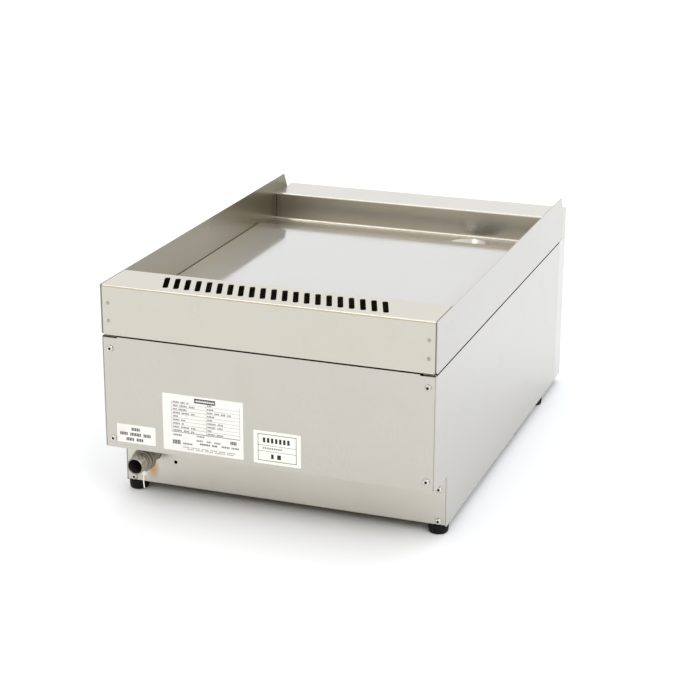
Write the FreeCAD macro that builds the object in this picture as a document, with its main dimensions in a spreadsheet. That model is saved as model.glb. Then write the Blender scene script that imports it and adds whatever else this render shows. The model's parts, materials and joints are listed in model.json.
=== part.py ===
import FreeCAD, Part
import math
import os
import re
import Sketcher

# Countertop gas griddle, millimetres.
# Frame: origin on the worktop under the middle of the whole object, +Z up, the operator stands at -Y and
# has -X on the left. Depths are measured forward (towards -Y) from the cabinet's rear face.

doc = FreeCAD.newDocument("GasGriddle")
Vector = FreeCAD.Vector

# ---------------------------------------------------------------- driving sizes
SIZES = {
    "Overall": {
        "width": 400, "depth": 600, "body_top": 208.5, "foot_height": 11, "sheet": 1.2, "bend": 3,
        "seam_gap": 1.9, "gasket_inset": 2.8, "gasket_width": 6, "flange": 15, "rear_flange": 8,
        "seam_line": 0.3, "past": 1,
    },
    "Cabinet": {
        "step_height": 73.3, "step_depth": 49.8, "edge_reveal": 2, "edge_round": 0.8, "corner_round": 2,
        "side_flange": 20, "front_return": 36, "tray_lip": 14, "notch_wide": 17, "notch_deep": 1.5,
        "spare_hole_x": 135, "spare_hole_z": 42, "spare_hole_r": 2.2, "front_vent_count": 5,
        "front_vent_pitch": 10, "front_vent_long": 70, "front_vent_wide": 4, "front_vent_drop": 35,
        "front_vent_low": 28, "tray_vent_count": 8, "tray_vent_pitch": 24, "tray_vent_long": 90,
        "tray_vent_wide": 8, "tray_vent_middle": 180,
    },
    "Screws": {
        "screw_inset": 10, "screw_r": 1.95, "screw_hole_r": 2.1, "screw_head_r": 4,
        "screw_head_tall": 1.8, "screw_long": 6, "socket_r": 1.5, "socket_deep": 1,
        "rear_screw_margin_low": 10.7, "rear_screw_margin_high": 14.5, "base_screw_rise": 3.4,
        "base_screw_drop": 18.3, "rivet_inset": 9.5, "rivet_rise": 16.9, "rivet_spacing": 21.1,
        "rivet_head_r": 2.2, "rivet_head_tall": 0.35, "rivet_r": 1.6,
    },
    "Cooking top": {
        "plate_rise": 12.6, "plate_thick": 10, "plate_gap": 0.5, "plate_tuck": 3, "plate_chamfer": 1,
        "cap_depth": 63, "cap_rise": 47, "relief": 1.5, "rail_rise": 27, "rail_depth": 63,
        "trough_wide": 64, "floor_tuck": 3, "guard_slope": 10, "guard_tip_drop": 18, "guard_end": 23.5,
        "guard_round": 0.4, "strip_wide": 4.4, "groove": 0.6, "drain_inset": 109, "drain_r": 24,
        "drain_edge": 1, "spout_wall": 1.2, "spout_flange": 4, "spout_drop_gap": 12, "drain_lip": 4.5,
        "slot_pitch": 13.1, "slot_long": 40, "slot_wide": 6.3, "slot_middle": 30.6, "slot_skew": 20,
        "slot_corner": 2.5, "slot_margin": 19,
    },
    "Firebox": {
        "firebox_inset": 50, "firebox_rear": 75, "firebox_front_gap": 18, "firebox_deep": 113, "liner": 1,
        "flue_deep": 29, "flue_gap": 9, "flue_top_gap": 2, "shield_margin": 6, "shield_lip": 10,
        "floor_slot_margin": 54, "floor_slot_pitch": 24, "floor_slot_end": 60, "floor_slot_wide": 8,
    },
    "Burner": {
        "burner_inset": 65, "burner_drop": 48, "burner_r": 14, "burner_wall": 1.2, "burner_rear_gap": 45,
        "burner_front_gap": 25, "crossover_gap": 15, "crossover_r": 10, "mixer_r": 11, "mixer_reach": 37,
        "mixer_mouth": 12, "mixer_mouth_r": 16, "mixer_clear": 0.5, "port_pitch": 12, "port_wide": 2,
        "port_long": 14, "port_margin": 20, "port_deep": 3.5, "bar_wide": 20, "bar_thick": 1.5,
        "bar_inset": 40, "jet_gap": 6, "jet_long": 10, "jet_r": 4, "jet_tip_r": 2.2, "jet_bore": 0.6,
        "block": 20, "block_deep": 12, "block_arm": 3, "hatch_wide": 35, "hatch_tall": 16,
        "hatch_side": 47, "hatch_drop": 22,
    },
    "Pilot": {
        "pilot_side": 29, "electrode_side": 41, "probe_side": 19, "pilot_drop": 14, "pilot_reach": 7,
        "pilot_r": 5, "pilot_hood_r": 4, "pilot_mouth_r": 3, "pilot_long": 24, "pilot_hood": 8,
        "pilot_neck": 14, "pilot_shoulder": 2, "hood_floor": 1, "ceramic_r": 3.5, "ceramic_long": 26,
        "ceramic_nose": 4, "spark_r": 1,
        "spark_long": 12, "probe_r": 2.5, "probe_long": 30, "probe_lead_r": 1.2, "probe_bend": 6,
        "lead_r": 1.5, "lead_bend": 12, "lead_straight": 28, "lead_turn": 60, "pilot_tube_r": 2,
        "pilot_tube_bore": 1.2, "pilot_tube_bend": 7, "pilot_tube_side": 16, "pilot_port_drop": 14,
        "pilot_port_back": 13, "pilot_tube_straight": 18, "pilot_tube_turn": 45, "probe_port_side": 10,
        "probe_port_drop": 12, "probe_straight": 14, "probe_turn": 32, "probe_run": 30, "probe_sag": 9,
    },
    "Gas line": {
        "inlet_inset": 36, "inlet_z": 51.4, "thread_r": 10.48, "thread_long": 13.2, "thread_chamfer": 0.8,
        "pipe_r": 10.3, "inlet_bore": 8.1, "pipe_end": 80, "reducer": 6, "supply_r": 6, "supply_bore": 5,
        "supply_bend": 18, "collar_r": 14, "collar_start": 17, "collar_long": 12, "collar_edge": 1,
        "tie_wide": 2.4, "tie_thick": 1.2, "tie_gap": 0.2, "tie_head": 5, "tie_tail": 17, "pipe_clear": 0.4,
        "feed_r": 4, "feed_bore": 3, "feed_bend": 9, "feed_side": 33, "feed_drop": 4, "feed_back": 23,
    },
    "Controls": {
        "knob_inset": 90, "control_drop": 68.5, "knob_r": 22, "knob_long": 26, "knob_gap": 6,
        "knob_skirt_r": 25, "knob_skirt": 5, "knob_taper": 2, "knob_edge": 1, "pointer_wide": 7,
        "pointer_long": 38, "pointer_tall": 5, "bezel_r": 31, "bezel_thick": 1.5, "bezel_hole": 7,
        "spindle_r": 4, "spindle_hole": 5.5, "spindle_in_knob": 20, "spindle_clear": 0.05,
        "push_travel": 4, "plunger_r": 3, "plunger_long": 16, "end_gap": 0.2, "shoulder": 0.2,
        "spindle_in_valve": 16, "valve_wide": 44, "valve_deep": 40, "valve_tall": 36, "valve_round": 4,
        "bonnet_r": 13, "bonnet_long": 6, "bracket_deep": 4.8, "bracket_wide": 50, "bracket_tall": 50,
        "bracket_sheet": 1.5, "bracket_foot": 8, "igniter_spacing": 80, "igniter_r": 8,
        "igniter_hole": 8.2, "igniter_bore": 6, "igniter_deep": 40, "igniter_flange_r": 11,
        "igniter_flange": 2.5, "igniter_nut_r": 12, "igniter_nut_tall": 4, "button_clear": 0.07,
        "button_proud": 9, "button_in": 13, "button_travel": 5, "button_edge": 1, "bore_spare": 2,
        "terminal_r": 3, "terminal_long": 8,
    },
    "Grease drawer": {
        "drawer_wide": 136, "drawer_long": 300, "drawer_rise": 9, "drawer_tall": 60, "drawer_wall": 1,
        "drawer_clear": 3, "drawer_face_lap": 5, "drawer_face_gap": 0.3, "handle_span": 60,
        "handle_r": 4, "handle_reach": 21, "handle_bend": 9, "runner_wide": 14, "runner_guide": 1.7,
        "runner_guide_tall": 40, "runner_gap": 0.3, "runner_end": 8, "face_foot_gap": 1,
    },
    "Feet and labels": {
        "foot_r": 11.8, "foot_taper": 1.5, "foot_edge": 1, "foot_hollow": 0.8, "foot_x_inset": 12,
        "rear_foot": 59, "front_foot_gap": 103, "foot_screw_r": 2.4, "foot_screw_clear": 0.1,
        "foot_screw_head_r": 4, "foot_screw_head": 1.3, "foot_screw_long": 8, "label_thick": 0.15,
        "gas_label_x": 136, "gas_label_wide": 49, "gas_label_rise": 7.7, "gas_label_tall": 22.5,
        "rating_x": 26.5, "rating_wide": 99.5, "rating_rise": 6.3, "rating_tall": 69.1,
        "inspection_x": -43, "inspection_wide": 57, "inspection_rise": 5.7, "inspection_tall": 39.5,
    },
}

# The size named past is how far each cutting tool runs beyond the faces that it cuts.
# Places that follow from the sizes above, as formulas. Depths and heights are in the frame's own terms.
PLACES = {
    "half": "width / 2",
    "through_sheet": "sheet + 2 * past",
    "inner": "half - sheet",
    "panel_half": "half - edge_reveal",
    "front_inside": "depth - sheet",
    "front_reach": "knob_gap + knob_long",
    "rear": "(depth + front_reach - screw_head_tall) / 2",
    "top_bottom": "body_top + seam_gap",
    "plate_top": "top_bottom + plate_rise",
    "plate_bottom": "plate_top - plate_thick",
    "overall_height": "plate_top + cap_rise",
    "rail_top": "plate_top + rail_rise",
    "wall_face": "depth - rail_depth",
    "plate_front": "wall_face - trough_wide",
    "guard_break": "depth - guard_end",
    "drain_x": "half - drain_inset",
    "drain_depth": "plate_front + drain_edge + drain_r",
    "spout_bottom": "drawer_top + spout_drop_gap",
    "screw_x": "half - screw_inset",
    "rear_screw_low": "step_height + rear_screw_margin_low",
    "rear_screw_high": "body_top - rear_screw_margin_high",
    "base_screw_low": "tray_top + base_screw_rise",
    "base_screw_high": "step_height - base_screw_drop",
    "rivet_x": "half - rivet_inset",
    "rivet_low": "top_bottom + rivet_rise",
    "rivet_high": "rivet_low + rivet_spacing",
    "tray_top": "foot_height + sheet",
    "foot_x": "half - foot_x_inset",
    "front_foot": "depth - front_foot_gap",
    "firebox_half": "half - firebox_inset",
    "firebox_front": "plate_front - firebox_front_gap",
    "firebox_floor": "plate_bottom - firebox_deep",
    "flue_floor": "plate_bottom - flue_deep",
    "slot_count": "floor((2 * firebox_half - 2 * slot_margin) / slot_pitch) + 1",
    "floor_slot_count": "floor((2 * firebox_half - 2 * floor_slot_margin) / floor_slot_pitch) + 1",
    "burner_x": "firebox_half - burner_inset",
    "burner_z": "plate_bottom - burner_drop",
    "burner_start": "firebox_rear + burner_rear_gap",
    "burner_end": "firebox_front - burner_front_gap",
    "crossover": "burner_end - crossover_gap",
    "mixer_end": "firebox_front + mixer_reach",
    "port_count": "floor((burner_end - burner_start - 2 * port_margin - 2 * port_pitch) / port_pitch) + 1",
    "jet_face": "mixer_end + jet_gap + jet_long",
    "hatch_x": "burner_x - hatch_side",
    "hatch_z": "burner_z - hatch_drop",
    "pilot_x": "burner_x - pilot_side",
    "electrode_x": "burner_x - electrode_side",
    "probe_x": "burner_x - probe_side",
    "pilot_z": "burner_z - pilot_drop",
    "pilot_face": "firebox_front + pilot_reach",
    "inlet_x": "half - inlet_inset",
    "knob_x": "half - knob_inset",
    "knob_back": "depth + knob_gap",
    "control_z": "body_top - control_drop",
    "igniter_x": "knob_x - igniter_spacing",
    "igniter_face": "depth + igniter_flange",
    "bonnet_face": "front_inside - bracket_deep",
    "valve_front": "bonnet_face - bonnet_long",
    "valve_back": "valve_front - valve_deep",
    "valve_left": "knob_x - valve_wide / 2",
    "valve_right": "knob_x + valve_wide / 2",
    "valve_low": "control_z - valve_tall / 2",
    "valve_high": "control_z + valve_tall / 2",
    "valve_middle": "valve_back + valve_deep / 2",
    "spindle_back": "bonnet_face - spindle_in_valve",
    "bore_step": "spindle_back - push_travel - shoulder",
    "plunger_front": "spindle_back - end_gap",
    "plunger_back": "plunger_front - plunger_long",
    "drawer_left": "-drain_x - drawer_wide / 2",
    "drawer_right": "-drain_x + drawer_wide / 2",
    "drawer_low": "foot_height + drawer_rise",
    "drawer_top": "drawer_low + drawer_tall",
    "drawer_front_end": "depth + drawer_face_gap",
    "drawer_back": "drawer_front_end - drawer_long",
    "front_vent_x": "knob_x - front_vent_drop",
}


def make_sheet():
    """Put every driving size in a spreadsheet: name, value, alias."""
    sheet = doc.addObject("Spreadsheet::Sheet", "sizes")
    row = 1
    for group, values in SIZES.items():
        sheet.set(f"A{row}", group)
        row += 1
        for name, number in values.items():
            sheet.set(f"A{row}", name)
            sheet.set(f"B{row}", str(number))
            sheet.setAlias(f"B{row}", name)
            row += 1
    doc.recompute()
    return sheet


SHEET = make_sheet()
SIZE_NAMES = {name for values in SIZES.values() for name in values}


def expand(text):
    """Turn a formula in size and place names into an expression on the spreadsheet."""
    def swap(match):
        word = match.group(0)
        if word in PLACES:
            return f"({expand(PLACES[word])})"
        return f"sizes.{word}" if word in SIZE_NAMES else word
    return re.sub(r"[A-Za-z_][A-Za-z_0-9]*", swap, str(text))


def value(text):
    """The number that a formula gives now."""
    return float(SHEET.evalExpression(expand(text)))


def bind(thing, target, text):
    thing.setExpression(target, expand(text))


def ahead(depth):
    """The y of a point that lies this far forward of the rear face."""
    return f"rear - ({depth})"


def origin_part(body, role):
    return next(item for item in body.Origin.OriginFeatures if item.Role == role)


TURN = {
    "+X": FreeCAD.Rotation(Vector(0, 1, 0), 90),
    "+Y": FreeCAD.Rotation(Vector(1, 0, 0), -90),
    "-Y": FreeCAD.Rotation(Vector(1, 0, 0), 90),
    "+Z": FreeCAD.Rotation(),
}


class Piece:
    """One sub-part, a PartDesign body. Its places are (x, depth forward of the rear face, z)."""

    def __init__(self, label):
        self.body = doc.addObject("PartDesign::Body", label)
        self.body.Label = label
        self.label = label
        PIECES.append(self.body)

    def volume(self):
        doc.recompute()
        return self.body.Shape.Volume if self.body.Tip else 0.0

    def checked(self, feature, cut, before):
        """Every feature has to change the volume in its own direction."""
        after = self.volume()
        changed = before - after if cut else after - before
        if changed < 1e-6:
            raise RuntimeError(f"{self.label}: {feature.Label} changes nothing")
        return feature

    def primitive(self, kind, cut):
        side = "Subtractive" if cut else "Additive"
        return self.body.newObject(f"PartDesign::{side}{kind}", f"{self.label}_{kind}")

    def box(self, x, d, z, cut=False):
        """A box from its low and high x, near and far depth, low and high z."""
        before = self.volume()
        feature = self.primitive("Box", cut)
        for side, (low, high) in (("Length", x), ("Width", d), ("Height", z)):
            bind(feature, side, f"({high}) - ({low})")
        bind(feature, "Placement.Base.x", x[0])
        bind(feature, "Placement.Base.y", ahead(d[1]))
        bind(feature, "Placement.Base.z", z[0])
        return self.checked(feature, cut, before)

    def cylinder(self, axis, at, radius, length, cut=False):
        """A cylinder from the point at, along +X, +Y, -Y or +Z."""
        before = self.volume()
        feature = self.primitive("Cylinder", cut)
        bind(feature, "Radius", radius)
        bind(feature, "Height", length)
        feature.Placement = FreeCAD.Placement(Vector(), TURN[axis])
        bind(feature, "Placement.Base.x", at[0])
        bind(feature, "Placement.Base.y", ahead(at[1]))
        bind(feature, "Placement.Base.z", at[2])
        return self.checked(feature, cut, before)

    def tube(self, axis, at, radius, bore, length):
        self.cylinder(axis, at, radius, length)
        self.cylinder(axis, at, bore, length, cut=True)

    def sketch(self, role, points):
        """A closed outline on an origin plane, every corner held by its own two formulas."""
        sketch = self.body.newObject("Sketcher::SketchObject", f"{self.label}_outline")
        sketch.AttachmentSupport = [(origin_part(self.body, role), "")]
        sketch.MapMode = "FlatFace"
        corners = [(value(a), value(b)) for a, b in points]
        count = len(corners)
        for i, start in enumerate(corners):
            end = corners[(i + 1) % count]
            sketch.addGeometry(Part.LineSegment(Vector(*start), Vector(*end)))
        for i in range(count):
            sketch.addConstraint(Sketcher.Constraint("Coincident", i, 2, (i + 1) % count, 1))
        for i, texts in enumerate(points):
            for axis, place, text in zip(("DistanceX", "DistanceY"), corners[i], texts):
                number = sketch.addConstraint(Sketcher.Constraint(axis, -1, 1, i, 1, place))
                sketch.renameConstraint(number, f"{axis}{i}")
                bind(sketch, f"Constraints.{axis}{i}", text)
        return sketch

    def pad_side(self, outline, x, cut=False):
        """A side view outline, as (depth, z) corners, made solid from low x to high x."""
        before = self.volume()
        sketch = self.sketch("YZ_Plane", [(ahead(d), z) for d, z in outline])
        bind(sketch, "AttachmentOffset.Base.z", x[0])
        kind = "PartDesign::Pocket" if cut else "PartDesign::Pad"
        feature = self.body.newObject(kind, f"{self.label}_run")
        feature.Profile = sketch
        feature.Reversed = cut
        bind(feature, "Length", f"({x[1]}) - ({x[0]})")
        return self.checked(feature, cut, before)

    def turned(self, outline, axis, at):
        """A body of revolution from (radius, height) corners, stood along an axis at a point."""
        before = self.volume()
        sketch = self.sketch("XZ_Plane", outline)
        feature = self.body.newObject("PartDesign::Revolution", f"{self.label}_turning")
        feature.Profile = sketch
        feature.ReferenceAxis = (sketch, ["V_Axis"])
        feature.Angle = 360
        self.body.Placement = FreeCAD.Placement(Vector(), TURN[axis])
        bind(self.body, "Placement.Base.x", at[0])
        bind(self.body, "Placement.Base.y", ahead(at[1]))
        bind(self.body, "Placement.Base.z", at[2])
        return self.checked(feature, False, before)

    def edges(self, x=None, d=None, z=None):
        """Names of the straight edges whose two ends match the given places."""
        doc.recompute()
        want = {}
        if x is not None:
            want["x"] = value(x)
        if d is not None:
            want["y"] = value(ahead(d))
        if z is not None:
            want["z"] = value(z)
        found = []
        for number, edge in enumerate(self.body.Tip.Shape.Edges, 1):
            ends = [vertex.Point for vertex in edge.Vertexes]
            if len(ends) == 2 and all(abs(getattr(end, axis) - place) < 1e-4
                                      for end in ends for axis, place in want.items()):
                found.append(f"Edge{number}")
        return found

    def soften(self, size, *places, kind="Fillet"):
        """Round or chamfer the edges at the given places."""
        names = []
        for place in places:
            picked = self.edges(**place)
            if not picked:
                raise RuntimeError(f"{self.label}: no edge at {place}")
            names += [name for name in picked if name not in names]
        base = self.body.Tip
        feature = self.body.newObject(f"PartDesign::{kind}", f"{self.label}_{kind}")
        feature.Base = (base, names)
        bind(feature, "Radius" if kind == "Fillet" else "Size", size)
        doc.recompute()
        if not feature.isValid():
            raise RuntimeError(f"{self.label}: {feature.Label} failed at {places}")
        return feature

    def repeat(self, feature, role, count, pitch, reverse=False):
        """Repeat a feature in a row."""
        before = self.volume()
        pattern = doc.addObject("PartDesign::LinearPattern", f"{self.label}_row")
        self.body.addObject(pattern)
        pattern.Originals = [feature]
        pattern.Direction = (origin_part(self.body, role), [""])
        pattern.Reversed = reverse
        bind(pattern, "Occurrences", count)
        bind(pattern, "Length", f"({pitch}) * ({count} - 1)")
        self.body.Tip = pattern
        after = self.volume()
        if abs(after - before) < 1e-6:
            raise RuntimeError(f"{self.label}: pattern adds nothing")
        return pattern


PIECES = []


def feature_piece(label, shape, at=(0, 0, 0)):
    """A sub-part whose solid is worked out here, from sizes read off the sheet."""
    item = doc.addObject("Part::Feature", label)
    item.Shape = shape
    item.Placement = FreeCAD.Placement(Vector(*at), FreeCAD.Rotation())
    item.Label = label
    PIECES.append(item)
    return item


def point(x, d, z):
    return Vector(value(x), value(ahead(d)), value(z))


def bent_path(points, bend):
    """Straight runs joined by tangent arcs."""
    edges = []
    start = points[0]
    for before, corner, after in zip(points, points[1:], points[2:]):
        inward = (before - corner).normalize()
        outward = (after - corner).normalize()
        setback = bend / math.tan(inward.getAngle(outward) / 2)
        first = corner + inward * setback
        last = corner + outward * setback
        to_centre = math.hypot(bend, setback)
        middle = corner + (inward + outward).normalize() * (to_centre - bend)
        edges.append(Part.LineSegment(start, first).toShape())
        edges.append(Part.Arc(first, middle, last).toShape())
        start = last
    edges.append(Part.LineSegment(start, points[-1]).toShape())
    return Part.Wire(edges)


def bent_rod(points, radius, bend, bore=0):
    """A round bar or tube along a bent path."""
    places = [point(*place) for place in points]
    path = bent_path(places, bend)
    way = (places[1] - places[0]).normalize()

    def sweep(size):
        ring = Part.Wire([Part.makeCircle(size, places[0], way)])
        return path.makePipeShell([ring], True, False)

    rod = sweep(radius)
    return rod.cut(sweep(bore)) if bore else rod


SIDES = {"left": -1, "right": 1}


def across(side, low, high):
    """The x range between two distances from the middle, on one side."""
    if side < 0:
        return (f"-({high})", f"-({low})")
    return (low, high)


# ---------------------------------------------------------------- cooking top
def make_rear_flue_cap():
    """Channel bent from one sheet along the back, slotted for the flue gases."""
    cap = Piece("rear_flue_cap")
    outline = [
        ("0", "top_bottom"), ("0", "overall_height"), ("cap_depth", "overall_height"),
        ("cap_depth", "plate_top"), ("cap_depth - sheet", "plate_top"),
        ("cap_depth - sheet", "overall_height - sheet"), ("sheet", "overall_height - sheet"),
        ("sheet", "top_bottom"),
    ]
    cap.pad_side(outline, ("-inner", "inner"))
    cap.soften("bend", {"d": "0", "z": "overall_height"}, {"d": "cap_depth", "z": "overall_height"})
    cap.soften("bend - sheet", {"d": "sheet", "z": "overall_height - sheet"},
               {"d": "cap_depth - sheet", "z": "overall_height - sheet"})
    cap.soften("bend", {"x": "inner", "z": "top_bottom"}, {"x": "-inner", "z": "top_bottom"})
    cap.box(("-(inner - side_flange - relief)", "inner - side_flange - relief"), ("sheet", "rear_flange"),
            ("top_bottom", "top_bottom + sheet"))
    for side in SIDES.values():
        cap.box(across(side, "inner - sheet", "inner"), ("0", "sheet + past"),
                ("overall_height - bend - relief", "overall_height - bend"), cut=True)
        for height in ("rivet_low", "rivet_high"):
            cap.cylinder("-Y", (f"{side} * rivet_x", "-past", height), "rivet_r", "through_sheet", cut=True)
    slot = slot_pocket(cap)
    cap.repeat(slot, "X_Axis", "slot_count", "slot_pitch")


def slot_pocket(cap):
    """The first flue slot, a round-cornered rectangle turned in plan."""
    before = cap.volume()
    sketch = cap.body.newObject("Sketcher::SketchObject", "slot_outline")
    sketch.AttachmentSupport = [(origin_part(cap.body, "XY_Plane"), "")]
    sketch.MapMode = "FlatFace"
    bind(sketch, "AttachmentOffset.Base.x", "-slot_pitch * (slot_count - 1) / 2")
    bind(sketch, "AttachmentOffset.Base.y", ahead("slot_middle"))
    bind(sketch, "AttachmentOffset.Base.z", "overall_height")
    bind(sketch, "AttachmentOffset.Rotation.Angle", "slot_skew")
    turn = FreeCAD.Rotation(Vector(0, 0, 1), value("slot_skew"))
    sketch.AttachmentOffset = FreeCAD.Placement(Vector(), turn)
    wide, long, round_r = value("slot_wide") / 2, value("slot_long") / 2, value("slot_corner")
    centres = [Vector(wide - round_r, round_r - long), Vector(wide - round_r, long - round_r),
               Vector(round_r - wide, long - round_r), Vector(round_r - wide, round_r - long)]
    for i, centre in enumerate(centres):
        start_angle = math.radians(-90 + 90 * i)
        circle = Part.Circle(centre, Vector(0, 0, 1), round_r)
        sketch.addGeometry(Part.ArcOfCircle(circle, start_angle, start_angle + math.pi / 2))
    for i, centre in enumerate(centres):
        way = Vector(math.cos(math.radians(90 * i)), math.sin(math.radians(90 * i)))
        following = centres[(i + 1) % 4]
        sketch.addGeometry(Part.LineSegment(centre + way * round_r, following + way * round_r))
    for i in range(4):
        sketch.addConstraint(Sketcher.Constraint("Tangent", i, 2, 4 + i, 1))
        sketch.addConstraint(Sketcher.Constraint("Tangent", 4 + i, 2, (i + 1) % 4, 1))
        sketch.addConstraint(Sketcher.Constraint("Horizontal" if i % 2 else "Vertical", 4 + i))
    for i in range(1, 4):
        sketch.addConstraint(Sketcher.Constraint("Equal", 0, i))
    sketch.addConstraint(Sketcher.Constraint("Symmetric", 0, 3, 2, 3, -1, 1))
    for constraint, text in (
        (Sketcher.Constraint("Radius", 0, round_r), "slot_corner"),
        (Sketcher.Constraint("DistanceX", 6, 1, 4, 1, 2 * wide), "slot_wide"),
        (Sketcher.Constraint("DistanceY", 7, 1, 5, 1, 2 * long), "slot_long"),
    ):
        number = sketch.addConstraint(constraint)
        bind(sketch, f"Constraints[{number}]", text)
    pocket = cap.body.newObject("PartDesign::Pocket", "first_slot")
    pocket.Profile = sketch
    bind(pocket, "Length", "sheet + past")
    return cap.checked(pocket, True, before)


def make_splash_guard(name, side):
    """Side sheet of the top: stands above the plate, front end sloped, flanges turned inward."""
    guard = Piece(f"splash_guard_{name}")
    outline = [
        ("0", "top_bottom"), ("0", "overall_height"),
        ("guard_break - guard_slope", "overall_height"),
        ("guard_break", "overall_height - guard_tip_drop"), ("guard_break", "top_bottom"),
    ]
    guard.pad_side(outline, across(side, "inner", "half"))
    guard.soften("bend", {"d": "0", "z": "top_bottom"})
    guard.soften("guard_round", {"x": f"{side} * half", "z": "overall_height"})
    guard.box(across(side, "inner - flange", "inner"), ("flange + relief", "guard_break - relief"),
              ("top_bottom", "top_bottom + sheet"))
    guard.box(across(side, "inner - side_flange", "inner"), ("sheet", "2 * sheet"),
              ("top_bottom + bend", "overall_height - bend"))
    for height in ("rivet_low", "rivet_high"):
        guard.cylinder("-Y", (f"{side} * rivet_x", "0", height), "rivet_r", "sheet * 3", cut=True)


def make_front_rail():
    """Trough floor, trough wall, raised rim and front skirt, bent from one sheet."""
    rail = Piece("front_rail")
    floor_top = "plate_bottom"
    floor_low = "plate_bottom - sheet"
    outline = [
        ("plate_front - floor_tuck", floor_top), ("plate_front - floor_tuck", floor_low),
        ("wall_face + sheet", floor_low), ("wall_face + sheet", "rail_top - sheet"),
        ("depth - sheet", "rail_top - sheet"), ("depth - sheet", "top_bottom + sheet"),
        ("depth - flange", "top_bottom + sheet"), ("depth - flange", "top_bottom"),
        ("depth", "top_bottom"), ("depth", "rail_top"), ("wall_face", "rail_top"),
        ("wall_face", floor_top),
    ]
    rail.pad_side(outline, ("-inner", "inner"))
    end = [
        ("guard_break + seam_line", "top_bottom"), ("guard_break + seam_line", "rail_top"),
        ("depth", "rail_top"), ("depth", "top_bottom"),
    ]
    for side in SIDES.values():
        rail.pad_side(end, across(side, "inner", "half"))
    rail.soften("bend", {"d": "depth", "z": "rail_top"}, {"x": "half", "d": "depth"},
                {"x": "-half", "d": "depth"})
    rail.soften("bend", {"d": "wall_face", "z": floor_top}, {"d": "wall_face", "z": "rail_top"})
    rail.soften("bend - sheet", {"d": "wall_face + sheet", "z": "rail_top - sheet"},
                {"d": "depth - sheet", "z": "rail_top - sheet"})
    for side in SIDES.values():
        for edge in ("inner - groove", "inner - groove - strip_wide"):
            rail.box(across(side, edge, f"({edge}) + groove"), ("wall_face - past", "wall_face + 2 * sheet"),
                     ("plate_bottom + bend", "rail_top - bend"), cut=True)
    rail.cylinder("+Z", ("-drain_x", "drain_depth", "plate_bottom - 2 * sheet"), "drain_r + drain_lip",
                  "3 * sheet", cut=True)


def make_griddle_plate():
    plate = Piece("griddle_plate")
    plate.box(("-(inner - plate_gap)", "inner - plate_gap"), ("cap_depth - plate_tuck", "plate_front"),
              ("plate_bottom", "plate_top"))
    plate.soften("plate_chamfer", {"d": "plate_front", "z": "plate_top"}, kind="Chamfer")


def make_plate_support(name, side):
    """Packing strip between the guard's flange and the plate."""
    strip = Piece(f"plate_support_{name}")
    strip.box(across(side, "inner - flange", "inner"), ("cap_depth", "plate_front - floor_tuck - relief"),
              ("top_bottom + sheet", "plate_bottom"))


def make_drain_spout():
    """Outlet tube under the trough: a flared mouth in the floor's hole, a flange welded below it."""
    spout = Piece("drain_spout")
    floor_low = "plate_bottom - sheet"
    outline = [
        ("drain_r", "spout_bottom"), ("drain_r + spout_wall", "spout_bottom"),
        ("drain_r + spout_wall", f"{floor_low} - spout_wall - drain_lip"),
        ("drain_r + drain_lip", f"{floor_low} - spout_wall"),
        ("drain_r + drain_lip + spout_flange", f"{floor_low} - spout_wall"),
        ("drain_r + drain_lip + spout_flange", floor_low), ("drain_r + drain_lip", floor_low),
        ("drain_r + drain_lip", "plate_bottom"), ("drain_r", "plate_bottom - drain_lip"),
    ]
    spout.turned(outline, "+Z", ("-drain_x", "drain_depth", "0"))


def fastener_group(label, places, outline, axis):
    """Turned fasteners, all alike, as separate solids of one compound."""
    corners = [Vector(value(r), 0, value(tall)) for r, tall in outline]
    face = Part.Face(Part.makePolygon(corners + corners[:1]))
    blank = face.revolve(Vector(), Vector(0, 0, 1), 360)
    solids = []
    for place in places:
        copy = blank.copy()
        copy.Placement = FreeCAD.Placement(point(*place), TURN[axis])
        solids.append(copy)
    return feature_piece(label, Part.makeCompound(solids))


SCREW = [
    ("0", "screw_head_tall - socket_deep"), ("socket_r", "screw_head_tall - socket_deep"),
    ("socket_r", "screw_head_tall"), ("screw_head_r * 0.45", "screw_head_tall"),
    ("screw_head_r * 0.85", "screw_head_tall * 0.6"), ("screw_head_r", "0"), ("screw_r", "0"),
    ("screw_r", "-screw_long"), ("0", "-screw_long - screw_r"),
]


def make_cap_rivets():
    rivet = [
        ("0", "rivet_head_tall"), ("rivet_head_r * 0.6", "rivet_head_tall"), ("rivet_head_r", "0"),
        ("rivet_r", "0"), ("rivet_r", "-2 * sheet"), ("rivet_head_r", "-2 * sheet"),
        ("rivet_head_r * 0.6", "-2 * sheet - rivet_head_tall"), ("0", "-2 * sheet - rivet_head_tall"),
    ]
    places = [(f"{side} * rivet_x", "0", height) for side in SIDES.values()
              for height in ("rivet_low", "rivet_high")]
    fastener_group("cap_rivets", places, rivet, "+Y")


def make_top_gasket():
    """Soft strip between the cabinet and the top, set in from the outside."""
    gasket = Piece("top_gasket")
    span = ("body_top", "top_bottom")
    rim = "half - gasket_inset"
    hole = "half - gasket_inset - gasket_width"
    gasket.box((f"-({rim})", rim), ("gasket_inset", "depth - gasket_inset"), span)
    gasket.box((f"-({hole})", hole), ("gasket_inset + gasket_width", "depth - gasket_inset - gasket_width"),
               span, cut=True)


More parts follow.
